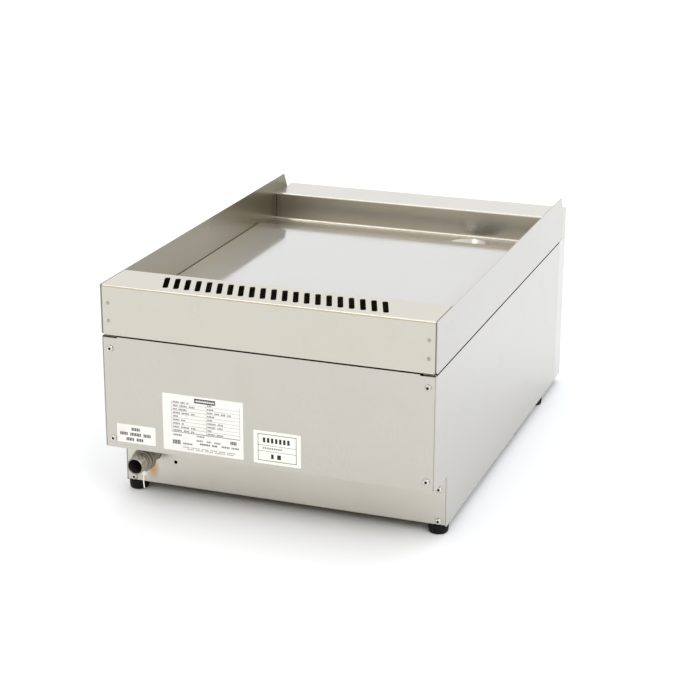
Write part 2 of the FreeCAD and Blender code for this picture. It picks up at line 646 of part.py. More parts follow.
# ---------------------------------------------------------------- cabinet
def make_side_panel(name, side):
    """Cabinet side with the step at its rear foot, and inward flanges."""
    panel = Piece(f"side_panel_{name}")
    edge = "depth - front_return"
    outline = [
        ("0", "step_height"), ("0", "body_top"), (edge, "body_top"), (edge, "foot_height"),
        ("step_depth", "foot_height"), ("step_depth", "step_height"),
    ]
    panel.pad_side(outline, across(side, "inner", "half"))
    panel.soften("edge_round", {"x": f"{side} * half", "d": "0"}, {"x": f"{side} * half", "d": "step_depth"})
    panel.box(across(side, "inner - flange", "inner"), ("2 * sheet + relief", f"{edge} - relief"),
              ("body_top - sheet", "body_top"))
    flange = across(side, "inner - side_flange", "inner")
    panel.box(flange, ("sheet", "2 * sheet"), ("step_height + 2 * sheet", "body_top - sheet - seam_line"))
    panel.box(flange, ("step_depth + sheet", "step_depth + 2 * sheet"),
              ("tray_top + seam_line", "step_height - relief"))
    for height in ("rear_screw_low", "rear_screw_high"):
        panel.cylinder("-Y", (f"{side} * screw_x", "0", height), "screw_hole_r", "4 * sheet", cut=True)
    for height in ("base_screw_low", "base_screw_high"):
        panel.cylinder("-Y", (f"{side} * screw_x", "step_depth", height), "screw_hole_r", "4 * sheet",
                       cut=True)


def make_rear_panel():
    panel = Piece("rear_panel")
    panel.box(("-panel_half", "panel_half"), ("0", "sheet"), ("step_height", "body_top"))
    for side in SIDES.values():
        panel.box(across(side, "panel_half - notch_wide", "panel_half + past"), ("-past", "sheet + past"),
                  ("body_top - notch_deep", "body_top + past"), cut=True)
        for height in ("rear_screw_low", "rear_screw_high"):
            panel.cylinder("-Y", (f"{side} * screw_x", "-past", height), "screw_hole_r",
                           "through_sheet", cut=True)
    reach = "inner - side_flange - relief"
    panel.box((f"-({reach})", reach), ("sheet", "rear_flange"), ("body_top - sheet", "body_top"))


def make_base_rear_panel():
    """Lower rear panel, set back under the step, with the gas pipe's hole."""
    panel = Piece("base_rear_panel")
    panel.box(("-panel_half", "panel_half"), ("step_depth", "step_depth + sheet"),
              ("tray_top", "step_height"))
    start = "step_depth - past"
    for side in SIDES.values():
        for height in ("base_screw_low", "base_screw_high"):
            panel.cylinder("-Y", (f"{side} * screw_x", start, height), "screw_hole_r",
                           "through_sheet", cut=True)
    panel.cylinder("-Y", ("inlet_x", start, "inlet_z"), "pipe_r + pipe_clear", "through_sheet", cut=True)
    panel.cylinder("-Y", ("spare_hole_x", start, "spare_hole_z"), "spare_hole_r", "through_sheet", cut=True)


def make_panel_screws():
    for label, depth, heights in (
        ("rear_panel_screws", "0", ("rear_screw_low", "rear_screw_high")),
        ("base_panel_screws", "step_depth", ("base_screw_low", "base_screw_high")),
    ):
        places = [(f"{side} * screw_x", depth, height) for side in SIDES.values() for height in heights]
        fastener_group(label, places, SCREW, "+Y")


def make_overhang_floor():
    """Closes the underside of the cabinet's rear overhang."""
    floor = Piece("overhang_floor")
    floor.box(("-inner", "inner"), ("2 * sheet", "step_depth + 4 * sheet"),
              ("step_height", "step_height + sheet"))


def make_bottom_tray():
    tray = Piece("bottom_tray")
    start = "step_depth + sheet"
    tray.box(("-inner", "inner"), (start, "front_inside"), ("foot_height", "tray_top"))
    for side in SIDES.values():
        tray.box(across(side, "inner - sheet", "inner"), (f"{start} + 2 * sheet", "front_inside - relief"),
                 ("tray_top", "tray_top + tray_lip"))
        for depth in ("rear_foot", "front_foot"):
            tray.cylinder("+Z", (f"{side} * foot_x", depth, "foot_height - past"),
                          "foot_screw_r + foot_screw_clear", "through_sheet", cut=True)
    low_x = "-tray_vent_pitch * (tray_vent_count - 1) / 2 - tray_vent_wide / 2"
    vent = tray.box((low_x, f"{low_x} + tray_vent_wide"),
                    ("tray_vent_middle - tray_vent_long / 2", "tray_vent_middle + tray_vent_long / 2"),
                    ("foot_height - past", "tray_top + past"), cut=True)
    tray.repeat(vent, "X_Axis", "tray_vent_count", "tray_vent_pitch")


def make_front_panel():
    """Front with returns round both sides, and openings for knob, igniter and drawer."""
    panel = Piece("front_panel")
    top = "top_bottom - seam_line"
    panel.box(("-half", "half"), ("front_inside", "depth"), ("foot_height", top))
    for side in SIDES.values():
        panel.box(across(side, "inner", "half"), ("depth - front_return + seam_line", "front_inside"),
                  ("foot_height", top))
    reach = "inner - flange - relief"
    panel.box((f"-({reach})", reach), ("depth - flange", "front_inside"), ("body_top - sheet", "body_top"))
    panel.soften("corner_round", {"x": "half", "d": "depth"}, {"x": "-half", "d": "depth"})
    through = ("front_inside - past", "depth + past")
    panel.box(("drawer_left - drawer_clear", "drawer_right + drawer_clear"), through,
              ("drawer_low - drawer_clear", "drawer_top + drawer_clear"), cut=True)
    for x, radius in (("knob_x", "spindle_hole"), ("igniter_x", "igniter_hole")):
        panel.cylinder("-Y", (x, "front_inside - past", "control_z"), radius, "through_sheet", cut=True)
    vent = panel.box(("front_vent_x", "front_vent_x + front_vent_long"), through,
                     ("front_vent_low", "front_vent_low + front_vent_wide"), cut=True)
    panel.repeat(vent, "Z_Axis", "front_vent_count", "front_vent_pitch")


def make_labels():
    """Three blank stickers on the rear panel."""
    for label, stem in (("gas_label", "gas_label"), ("rating_plate", "rating"),
                        ("inspection_label", "inspection")):
        sticker = doc.addObject("Part::Box", label)
        sticker.Label = label
        bind(sticker, "Length", f"{stem}_wide")
        bind(sticker, "Width", "label_thick")
        bind(sticker, "Height", f"{stem}_tall")
        bind(sticker, "Placement.Base.x", f"{stem}_x")
        bind(sticker, "Placement.Base.y", "rear")
        bind(sticker, "Placement.Base.z", f"step_height + {stem}_rise")
        PIECES.append(sticker)


def make_feet():
    """Moulded rubber buffers, each with a screw down through the tray."""
    hole = "foot_screw_r + foot_screw_clear"
    outline = [
        (hole, "foot_height"), (hole, "foot_height - foot_screw_long"), ("foot_r / 2", "foot_hollow"),
        ("foot_r / 2", "0"), ("foot_r - foot_taper", "0"), ("foot_r - foot_taper / 2", "foot_edge"),
        ("foot_r", "foot_height / 2"), ("foot_r", "foot_height - foot_edge"),
        ("foot_r - foot_edge / 2", "foot_height"),
    ]
    screw_places = []
    for name, side in SIDES.items():
        for end, depth in (("rear", "rear_foot"), ("front", "front_foot")):
            foot = Piece(f"foot_{end}_{name}")
            foot.turned(outline, "+Z", (f"{side} * foot_x", depth, "0"))
            screw_places.append((f"{side} * foot_x", depth, "tray_top"))
    screw = [
        ("0", "foot_screw_head"), ("foot_screw_head_r * 0.6", "foot_screw_head"),
        ("foot_screw_head_r", "0"), ("foot_screw_r", "0"), ("foot_screw_r", "-foot_screw_long"),
        ("0", "-foot_screw_long"),
    ]
    fastener_group("foot_screws", screw_places, screw, "+Z")


# ---------------------------------------------------------------- flue and firebox
def make_flue_box():
    """Duct that leads the burnt gases from the firebox up behind the plate to the cap's slots."""
    flue = Piece("flue_box")
    rear_wall = "sheet + flue_gap"
    top = "overall_height - sheet - flue_top_gap"
    flue.box(("-firebox_half", "firebox_half"), (f"{rear_wall} - liner", "firebox_rear"),
             ("flue_floor", "flue_floor + liner"))
    flue.box(("-firebox_half", "firebox_half"), (f"{rear_wall} - liner", rear_wall),
             ("flue_floor + liner", top))
    for side in SIDES.values():
        wall = across(side, "firebox_half - liner", "firebox_half")
        turn = "cap_depth - plate_tuck - relief"
        flue.box(wall, (rear_wall, turn), ("flue_floor + liner", top))
        flue.box(wall, (turn, "firebox_rear"), ("flue_floor + liner", "plate_bottom"))


def make_firebox():
    """Four liner sheets round the burner, standing on the shield."""
    for name, side in SIDES.items():
        wall = Piece(f"firebox_{name}_wall")
        wall.box(across(side, "firebox_half - liner", "firebox_half"),
                 ("firebox_rear + liner", "firebox_front"), ("firebox_floor", "plate_bottom"))
    rear_wall = Piece("firebox_rear_wall")
    rear_wall.box(("-firebox_half", "firebox_half"), ("firebox_rear", "firebox_rear + liner"),
                  ("firebox_floor", "flue_floor + liner"))
    front_wall = Piece("firebox_front_wall")
    front_wall.box(("-firebox_half", "firebox_half"), ("firebox_front", "firebox_front + liner"),
                   ("firebox_floor", "plate_bottom"))
    cut = ("firebox_front - past", "firebox_front + liner + past")
    front_wall.cylinder("-Y", ("burner_x", cut[0], "burner_z"), "mixer_r + mixer_clear",
                        "liner + 2 * past", cut=True)
    front_wall.box(("hatch_x", "hatch_x + hatch_wide"), cut, ("hatch_z", "hatch_z + hatch_tall"), cut=True)


def make_heat_shield():
    """Slotted sheet under the burner; it carries the firebox and lets air up."""
    shield = Piece("heat_shield_floor")
    top = "firebox_floor"
    run = ("step_depth + 4 * sheet", "firebox_front + shield_margin")
    shield.box(("-inner", "inner"), run, (f"{top} - sheet", top))
    for side in SIDES.values():
        shield.box(across(side, "inner - sheet", "inner"), run,
                   (f"{top} - sheet - shield_lip", f"{top} - sheet"))
    low_x = "-floor_slot_pitch * (floor_slot_count - 1) / 2 - floor_slot_wide / 2"
    slot = shield.box((low_x, f"{low_x} + floor_slot_wide"),
                      ("firebox_rear + floor_slot_end", "firebox_front - floor_slot_end"),
                      (f"{top} - 2 * sheet", f"{top} + past"), cut=True)
    shield.repeat(slot, "X_Axis", "floor_slot_count", "floor_slot_pitch")


# ---------------------------------------------------------------- burner group
def make_burner():
    """Two ported tubes, a crossover and one mixing tube with a flared mouth."""
    burner = Piece("burner")
    run = "burner_end - burner_start"
    for side in SIDES.values():
        burner.cylinder("-Y", (f"{side} * burner_x", "burner_start", "burner_z"), "burner_r", run)
    burner.cylinder("+X", ("-burner_x", "crossover", "burner_z"), "crossover_r", "2 * burner_x")
    mixer_run = "mixer_end - burner_end"
    burner.cylinder("-Y", ("burner_x", "burner_end", "burner_z"), "mixer_r", mixer_run)
    burner.cylinder("-Y", ("burner_x", "mixer_end - mixer_mouth", "burner_z"), "mixer_mouth_r", "mixer_mouth")
    for side in SIDES.values():
        burner.cylinder("-Y", (f"{side} * burner_x", "burner_start + burner_wall", "burner_z"),
                        "burner_r - burner_wall", f"{run} - 2 * burner_wall", cut=True)
    burner.cylinder("+X", ("-burner_x", "crossover", "burner_z"), "crossover_r - burner_wall",
                    "2 * burner_x", cut=True)
    burner.cylinder("-Y", ("burner_x", "burner_end - 2 * burner_wall", "burner_z"),
                    "mixer_r - burner_wall", f"{mixer_run} + 3 * burner_wall", cut=True)
    burner.cylinder("-Y", ("burner_x", "mixer_end - mixer_mouth + burner_wall", "burner_z"),
                    "mixer_mouth_r - burner_wall", "mixer_mouth", cut=True)
    for side in SIDES.values():
        first = "burner_start + port_margin"
        port = burner.box((f"{side} * burner_x - port_long / 2", f"{side} * burner_x + port_long / 2"),
                          (first, f"{first} + port_wide"),
                          ("burner_z + burner_r - port_deep", "burner_z + burner_r + past"), cut=True)
        burner.repeat(port, "Y_Axis", "port_count", "port_pitch", reverse=True)


def make_burner_brackets():
    """Two bars across the firebox that the burner tubes lie on."""
    bars = Piece("burner_brackets")
    top = "burner_z - burner_r"
    for depth in ("burner_start + bar_inset", "burner_end - bar_inset"):
        bars.box(("-(firebox_half - liner)", "firebox_half - liner"),
                 (f"{depth} - bar_wide / 2", f"{depth} + bar_wide / 2"), (f"{top} - bar_thick", top))


def make_injector():
    """Jet block on the firebox front, and the brass jet that fires into the mixing tube."""
    holder = Piece("injector_holder")
    low, high = "burner_x - block / 2", "burner_x + block / 2"
    holder.box((low, high), ("jet_face", "jet_face + block_deep"),
               ("burner_z - block / 2", "burner_z + block / 2"))
    top = "burner_z + mixer_mouth_r + block_arm"
    holder.box((low, high), ("jet_face", "jet_face + block_arm"),
               ("burner_z + block / 2", f"{top} + block_arm"))
    holder.box((low, high), ("firebox_front + liner", "jet_face"), (top, f"{top} + block_arm"))
    holder.cylinder("-Y", ("burner_x", "jet_face", "burner_z"), "jet_tip_r", "block_deep / 2", cut=True)
    jet = Piece("injector")
    outline = [
        ("jet_bore", "0"), ("jet_r", "0"), ("jet_r", "jet_long * 0.6"), ("jet_tip_r", "jet_long * 0.7"),
        ("jet_tip_r", "jet_long"), ("jet_bore", "jet_long"),
    ]
    jet.turned(outline, "+Y", ("burner_x", "jet_face", "burner_z"))


def make_pilot():
    """Pilot burner with its tube, reaching in through the hatch."""
    pilot = Piece("pilot_burner")
    step = "pilot_neck + pilot_shoulder"
    outline = [
        ("0", "0"), ("pilot_r", "0"), ("pilot_r", "pilot_neck"), ("pilot_hood_r", step),
        ("pilot_hood_r", "pilot_long"), ("pilot_mouth_r", "pilot_long"),
        ("pilot_mouth_r", "pilot_long - pilot_hood + hood_floor"),
        ("0", "pilot_long - pilot_hood + hood_floor"),
    ]
    pilot.turned(outline, "+Y", ("pilot_x", "pilot_face", "pilot_z"))
    start, port = "valve_front - pilot_port_back", "control_z - pilot_port_drop"
    route = [("valve_left", start, port), ("valve_left - pilot_tube_side", start, port),
             ("valve_left - pilot_tube_side", "pilot_face + pilot_tube_turn", port),
             ("pilot_x", "pilot_face + pilot_tube_straight", "pilot_z"),
             ("pilot_x", "pilot_face", "pilot_z")]
    tube = bent_rod(route, value("pilot_tube_r"), value("pilot_tube_bend"), value("pilot_tube_bore"))
    feature_piece("pilot_tube", tube)


def make_ignition():
    """Spark electrode and its lead from the igniter's terminal."""
    electrode = Piece("ignition_electrode")
    tip = "ceramic_long + ceramic_nose"
    outline = [
        ("0", "0"), ("ceramic_r", "0"), ("ceramic_r", "ceramic_long"), ("ceramic_r - spark_r", tip),
        ("spark_r", tip), ("spark_r", f"{tip} + spark_long"), ("0", f"{tip} + spark_long + spark_r"),
    ]
    electrode.turned(outline, "+Y", ("electrode_x", "pilot_face", "pilot_z"))
    route = [("igniter_x", "front_inside - igniter_deep - terminal_long", "control_z"),
             ("igniter_x", "pilot_face + lead_turn", "control_z"),
             ("electrode_x", "pilot_face + lead_straight", "pilot_z"),
             ("electrode_x", "pilot_face", "pilot_z")]
    feature_piece("ignition_lead", bent_rod(route, value("lead_r"), value("lead_bend")))


def make_thermocouple():
    """Flame probe and its lead back to the valve, one piece."""
    lead_x, lead_z = "knob_x + probe_port_side", "control_z - probe_port_drop"
    route = [(lead_x, "valve_back", lead_z), (lead_x, "valve_back - probe_run", lead_z),
             ("probe_x", "pilot_face + probe_turn", "pilot_z - probe_sag"),
             ("probe_x", "pilot_face + probe_straight", "pilot_z"),
             ("probe_x", "pilot_face - relief", "pilot_z")]
    lead = bent_rod(route, value("probe_lead_r"), value("probe_bend"))
    tip = Part.makeCylinder(value("probe_r"), value("probe_long"), point("probe_x", "pilot_face", "pilot_z"),
                            Vector(0, 1, 0))
    feature_piece("thermocouple", lead.fuse(tip))


# ---------------------------------------------------------------- gas line
def make_gas_inlet():
    """Threaded inlet pipe through the base panel, its lock nut and the cable tie round it."""
    pipe = Piece("gas_inlet_pipe")
    outline = [
        ("inlet_bore", "0"), ("thread_r - thread_chamfer", "0"), ("thread_r", "thread_chamfer"),
        ("thread_r", "thread_chamfer + thread_long"), ("pipe_r", "thread_chamfer + thread_long"),
        ("pipe_r", "pipe_end"), ("supply_bore", "pipe_end"), ("supply_bore", "pipe_end - reducer"),
        ("inlet_bore", "pipe_end - 2 * reducer"),
    ]
    pipe.turned(outline, "-Y", ("inlet_x", "0", "inlet_z"))
    nut = Piece("inlet_lock_nut")
    outline = [
        ("pipe_r", "0"), ("collar_r - collar_edge", "0"), ("collar_r", "collar_edge"),
        ("collar_r", "collar_long - collar_edge"), ("collar_r - collar_edge", "collar_long"),
        ("pipe_r", "collar_long"),
    ]
    nut.turned(outline, "-Y", ("inlet_x", "collar_start", "inlet_z"))
    tie = Piece("inlet_cable_tie")
    start = "collar_start - tie_wide - tie_gap"
    tie.tube("-Y", ("inlet_x", start, "inlet_z"), "pipe_r + tie_thick", "pipe_r", "tie_wide")
    head_x = "inlet_x - tie_head"
    head_top = "inlet_z - thread_r"
    tie.box((f"{head_x} - tie_head / 2", f"{head_x} + tie_head / 2"), (start, f"{start} + tie_wide"),
            (f"{head_top} - tie_head", head_top))
    tie.box((f"{head_x} - tie_wide / 2", f"{head_x} + tie_wide / 2"), (start, f"{start} + tie_thick"),
            (f"{head_top} - tie_head - tie_tail", f"{head_top} - tie_head"))


def make_supply_tube():
    """Copper tube from the inlet along the cabinet side and up to the valve."""
    route = [("inlet_x", "pipe_end", "inlet_z"), ("inlet_x", "valve_middle", "inlet_z"),
             ("inlet_x", "valve_middle", "control_z"), ("valve_right", "valve_middle", "control_z")]
    tube = bent_rod(route, value("supply_r"), value("supply_bend"), value("supply_bore"))
    feature_piece("gas_supply_tube", tube)


def make_feed_tube():
    """Tube from the valve to the jet block."""
    side, low = "valve_left - feed_side", "control_z - feed_drop"
    back, jet = "valve_front - feed_back", "jet_face + block_deep / 2"
    route = [("valve_left", back, low), (side, back, low), (side, jet, low), (side, jet, "burner_z"),
             ("burner_x - block / 2", jet, "burner_z")]
    feature_piece("burner_feed_tube",
                  bent_rod(route, value("feed_r"), value("feed_bend"), value("feed_bore")))


def make_gas_valve():
    """Valve body with a stepped bore for spindle and plunger, on a bracket behind the front."""
    valve = Piece("gas_valve")
    valve.box(("valve_left", "valve_right"), ("valve_back", "valve_front"), ("valve_low", "valve_high"))
    valve.soften("valve_round", {"x": "valve_left", "z": "valve_high"},
                 {"x": "valve_right", "z": "valve_high"})
    valve.cylinder("-Y", ("knob_x", "valve_front", "control_z"), "bonnet_r", "bonnet_long")
    valve.cylinder("-Y", ("knob_x", "bore_step", "control_z"), "spindle_r + spindle_clear",
                   "bonnet_face - bore_step + past", cut=True)
    valve.cylinder("-Y", ("knob_x", "plunger_back - push_travel - bore_spare", "control_z"),
                   "plunger_r + spindle_clear", "plunger_long + push_travel + bore_spare", cut=True)
    bracket = Piece("valve_bracket")
    wide = ("knob_x - bracket_wide / 2", "knob_x + bracket_wide / 2")
    bracket.box(wide, ("bonnet_face", "front_inside"),
                ("control_z - bracket_tall / 2", "control_z + bracket_tall / 2"))
    bracket.box((f"{wide[0]} - past", f"{wide[1]} + past"),
                ("bonnet_face + bracket_sheet", "front_inside + past"),
                ("control_z - bracket_tall / 2 + bracket_foot",
                 "control_z + bracket_tall / 2 - bracket_foot"), cut=True)
    bracket.cylinder("-Y", ("knob_x", "bonnet_face - past", "control_z"), "spindle_hole",
                     "bracket_deep + 2 * past", cut=True)


def make_knob():
    """Plunger, spindle, knob with its pointer, and the fixed bezel on the front."""
    plunger = Piece("valve_plunger")
    plunger.cylinder("-Y", ("knob_x", "plunger_back", "control_z"), "plunger_r", "plunger_long")
    spindle = Piece("valve_spindle")
    spindle.cylinder("-Y", ("knob_x", "spindle_back", "control_z"), "spindle_r",
                     "knob_back + spindle_in_knob - spindle_back")
    knob = Piece("control_knob")
    outline = [
        ("spindle_r", "0"), ("knob_skirt_r", "0"), ("knob_skirt_r", "knob_skirt"),
        ("knob_r", "knob_skirt + knob_taper"),
        ("knob_r - knob_taper", "knob_long - pointer_tall - knob_edge"),
        ("knob_r - knob_taper - knob_edge", "knob_long - pointer_tall"), ("0", "knob_long - pointer_tall"),
        ("0", "spindle_in_knob"), ("spindle_r", "spindle_in_knob"),
    ]
    knob.turned(outline, "-Y", ("knob_x", "knob_back", "control_z"))
    before = knob.volume()
    pointer = knob.body.newObject("PartDesign::AdditiveBox", "control_knob_pointer")
    bind(pointer, "Length", "pointer_wide")
    bind(pointer, "Width", "pointer_long")
    bind(pointer, "Height", "pointer_tall")
    bind(pointer, "Placement.Base.x", "-pointer_wide / 2")
    bind(pointer, "Placement.Base.y", "-pointer_long / 2")
    bind(pointer, "Placement.Base.z", "knob_long - pointer_tall")
    knob.checked(pointer, False, before)
    bezel = Piece("knob_bezel")
    outline = [
        ("bezel_hole", "0"), ("bezel_r", "0"), ("bezel_r - bezel_thick", "bezel_thick"),
        ("bezel_hole", "bezel_thick"),
    ]
    bezel.turned(outline, "-Y", ("knob_x", "depth", "control_z"))


def make_igniter():
    """Piezo igniter: body through the front, nut behind it, spring button in its bore."""
    igniter = Piece("igniter_body")
    start = "front_inside - igniter_deep"
    igniter.cylinder("-Y", ("igniter_x", start, "control_z"), "igniter_r", f"igniter_face - ({start})")
    igniter.cylinder("-Y", ("igniter_x", "depth", "control_z"), "igniter_flange_r", "igniter_flange")
    igniter.cylinder("+Y", ("igniter_x", start, "control_z"), "terminal_r", "terminal_long")
    bore = "button_in + button_travel + bore_spare"
    igniter.cylinder("-Y", ("igniter_x", f"igniter_face - ({bore})", "control_z"), "igniter_bore",
                     f"{bore} + past", cut=True)
    nut = Piece("igniter_nut")
    nut.tube("-Y", ("igniter_x", "front_inside - igniter_nut_tall", "control_z"), "igniter_nut_r",
             "igniter_r", "igniter_nut_tall")
    button = Piece("igniter_button")
    outline = [
        ("0", "0"), ("igniter_bore - button_clear", "0"),
        ("igniter_bore - button_clear", "button_in + button_proud - button_edge"),
        ("igniter_bore - button_clear - button_edge", "button_in + button_proud"),
        ("0", "button_in + button_proud"),
    ]
    button.turned(outline, "-Y", ("igniter_x", "igniter_face - button_in", "control_z"))


# ---------------------------------------------------------------- grease drawer
def make_drawer():
    """Open tray that catches the grease, with its face and bar handle."""
    drawer = Piece("grease_drawer")
    run = ("drawer_back", "drawer_front_end")
    drawer.box(("drawer_left", "drawer_right"), run, ("drawer_low", "drawer_top"))
    drawer.box(("drawer_left + drawer_wall", "drawer_right - drawer_wall"),
               ("drawer_back + drawer_wall", "drawer_front_end - drawer_wall"),
               ("drawer_low + drawer_wall", "drawer_top + past"), cut=True)
    face = Piece("drawer_front")
    outside = "drawer_front_end + sheet"
    lap = "(drawer_clear + drawer_face_lap)"
    face.box((f"drawer_left - {lap}", f"drawer_right + {lap}"), ("drawer_front_end", outside),
             ("foot_height + face_foot_gap", f"drawer_top + {lap}"))
    low_x, high_x = "-drain_x - handle_span / 2", "-drain_x + handle_span / 2"
    grip_z = "drawer_low + drawer_tall / 2"
    far = f"{outside} + handle_reach"
    route = [(low_x, outside, grip_z), (low_x, far, grip_z), (high_x, far, grip_z), (high_x, outside, grip_z)]
    feature_piece("drawer_handle", bent_rod(route, value("handle_r"), value("handle_bend")))


def make_runners():
    """Two L-shaped runners on the tray that the drawer slides between."""
    runners = Piece("drawer_runners")
    shelf_top = "drawer_low - runner_gap"
    run = ("drawer_back - runner_end", "front_inside - relief")
    guide_high = (shelf_top, f"{shelf_top} + runner_guide_tall")
    left, right = "drawer_left - drawer_clear", "drawer_right + drawer_clear"
    runners.box((left, f"{left} + runner_wide"), run, ("tray_top", shelf_top))
    runners.box((left, f"{left} + runner_guide"), run, guide_high)
    runners.box((f"{right} - runner_wide", right), run, ("tray_top", shelf_top))
    runners.box((f"{right} - runner_guide", right), run, guide_high)


def build():
    make_rear_flue_cap()
    for name, side in SIDES.items():
        make_splash_guard(name, side)
        make_plate_support(name, side)
        make_side_panel(name, side)
    make_front_rail()
    make_griddle_plate()
    make_drain_spout()
    make_cap_rivets()
    make_top_gasket()
    make_rear_panel()
    make_base_rear_panel()
    make_panel_screws()
    make_overhang_floor()
    make_bottom_tray()
    make_front_panel()
    make_labels()
    make_feet()
    make_flue_box()
    make_firebox()
    make_heat_shield()
    make_burner()
    make_burner_brackets()
    make_injector()
    make_pilot()
    make_ignition()
    make_thermocouple()
    make_gas_inlet()
    make_supply_tube()
    make_feed_tube()
    make_gas_valve()
    make_knob()
    make_igniter()
    make_drawer()
    make_runners()


def check_model():
    """No object may be failed, and every sub-part is one or more sound solids."""
    doc.recompute()
    for item in doc.Objects:
        if {"Invalid", "Error"} & set(item.State):
            raise RuntimeError(f"{item.Label} failed: {item.State}")
    for item in PIECES:
        if item.Shape.isNull() or not item.Shape.isValid() or not item.Shape.Solids:
            raise RuntimeError(f"{item.Label} has no sound solid")


def write_parts():
    os.makedirs("parts", exist_ok=True)
    for item in PIECES:
        item.Shape.exportStep(f"parts/{item.Label}.step")
    print(len(PIECES), "sub-parts written")


build()
check_model()
write_parts()
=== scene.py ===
import json
import math
import random

import bmesh
import bpy
from mathutils import Matrix, Vector


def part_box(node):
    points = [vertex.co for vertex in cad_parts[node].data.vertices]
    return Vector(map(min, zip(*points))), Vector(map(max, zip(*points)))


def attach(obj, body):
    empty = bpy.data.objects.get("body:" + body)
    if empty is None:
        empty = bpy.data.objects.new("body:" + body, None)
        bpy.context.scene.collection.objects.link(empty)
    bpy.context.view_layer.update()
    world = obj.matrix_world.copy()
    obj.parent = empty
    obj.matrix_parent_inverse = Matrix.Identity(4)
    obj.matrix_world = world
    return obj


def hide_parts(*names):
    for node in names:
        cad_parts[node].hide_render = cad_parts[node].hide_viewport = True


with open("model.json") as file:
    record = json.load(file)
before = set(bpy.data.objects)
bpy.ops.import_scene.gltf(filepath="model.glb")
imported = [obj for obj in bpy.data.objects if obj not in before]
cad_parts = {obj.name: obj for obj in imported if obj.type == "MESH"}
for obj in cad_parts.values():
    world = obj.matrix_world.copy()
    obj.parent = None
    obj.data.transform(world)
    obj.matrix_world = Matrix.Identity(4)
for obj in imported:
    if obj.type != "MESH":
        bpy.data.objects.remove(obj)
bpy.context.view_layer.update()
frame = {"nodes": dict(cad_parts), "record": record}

# Looks of the countertop gas griddle. Metres, +Z up; the rear face, which the camera sees, looks along +Y.
MM = 0.001
NODES = frame["nodes"]
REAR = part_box("rear_panel")[1].y

# Directions of the rolling grain: texture scale along X, Y and Z, small along the grain.
GRAIN_UP = (1, 1, 0.012)
GRAIN_DEEP = (1, 0.012, 1)
GRAIN_WIDE = (0.012, 1, 1)
# Depth of the texture of paper and ink.
FILM_GRAIN = 0.003 * MM


# ---------------------------------------------------------------- stage, camera and light
def make_camera():
    """Stands behind the griddle, off its operator's-left corner, and looks down a little."""
    place = Vector((-0.725687, REAR + 1.765039, 0.873738))
    azimuth = math.radians(160.507)
    elevation = math.radians(-19.0592)
    roll = math.radians(0.2471)
    level = math.cos(elevation)
    ahead = Vector((math.sin(azimuth) * level, math.cos(azimuth) * level, math.sin(elevation)))
    side = ahead.cross(Vector((0, 0, 1))).normalized()
    above = side.cross(ahead)
    right = side * math.cos(roll) + above * math.sin(roll)
    up = above * math.cos(roll) - side * math.sin(roll)
    data = bpy.data.cameras.new("camera")
    data.lens = 93.79
    data.sensor_width = 36
    camera = bpy.data.objects.new("camera", data)
    camera.matrix_world = Matrix((right, up, -ahead)).transposed().to_4x4()
    camera.location = place
    bpy.context.scene.collection.objects.link(camera)
    bpy.context.scene.camera = camera


def make_floor():
    """A wide, plain, pale studio floor."""
    half = 30
    corners = [(-half, -half, 0), (half, -half, 0), (half, half, 0), (-half, half, 0)]
    mesh = bpy.data.meshes.new("studio_floor")
    mesh.from_pydata(corners, [], [(0, 1, 2, 3)])
    floor = bpy.data.objects.new("studio_floor", mesh)
    bpy.context.scene.collection.objects.link(floor)
    paint = bpy.data.materials.new("floor_paint")
    paint.use_nodes = True
    shader = paint.node_tree.nodes["Principled BSDF"]
    shader.inputs["Base Color"].default_value = (0.86, 0.875, 0.905, 1)
    shader.inputs["Roughness"].default_value = 0.9
    shader.inputs["Specular IOR Level"].default_value = 0.1
    mesh.materials.append(paint)


def make_world():
    """A bright backdrop ahead of the griddle, and a dimmer, warmer room behind the camera."""
    world = bpy.data.worlds.new("studio")
    bpy.context.scene.world = world
    world.use_nodes = True
    tree = world.node_tree
    tree.nodes.clear()
    way = tree.nodes.new("ShaderNodeTexCoord")
    split = tree.nodes.new("ShaderNodeSeparateXYZ")
    tree.links.new(way.outputs["Generated"], split.inputs[0])
    dim = tree.nodes.new("ShaderNodeMath")
    dim.operation = "MULTIPLY"
    # the room is dim towards +Y, and only up to about 25 degrees above level
    for index, (axis, clear, full) in enumerate((("Y", -0.25, 0.55), ("Z", 0.52, 0.36))):
        step = tree.nodes.new("ShaderNodeMapRange")
        step.interpolation_type = "SMOOTHSTEP"
        step.inputs["From Min"].default_value = clear
        step.inputs["From Max"].default_value = full
        tree.links.new(split.outputs[axis], step.inputs["Value"])
        tree.links.new(step.outputs[0], dim.inputs[index])
    walls = tree.nodes.new("ShaderNodeMix")
    walls.data_type = "RGBA"
    walls.inputs["A"].default_value = (1, 1, 1, 1)
    walls.inputs["B"].default_value = (0.76, 0.66, 0.46, 1)
    tree.links.new(dim.outputs[0], walls.inputs["Factor"])
    room = tree.nodes.new("ShaderNodeBackground")
    room.inputs["Strength"].default_value = 1.2
    tree.links.new(walls.outputs["Result"], room.inputs["Color"])
    plain = tree.nodes.new("ShaderNodeBackground")
    plain.inputs["Color"].default_value = (1, 1, 1, 1)
    plain.inputs["Strength"].default_value = 1.1
    path = tree.nodes.new("ShaderNodeLightPath")
    mix = tree.nodes.new("ShaderNodeMixShader")
    tree.links.new(path.outputs["Is Camera Ray"], mix.inputs["Fac"])
    tree.links.new(room.outputs[0], mix.inputs[1])
    tree.links.new(plain.outputs[0], mix.inputs[2])
    out = tree.nodes.new("ShaderNodeOutputWorld")
    tree.links.new(mix.outputs[0], out.inputs["Surface"])


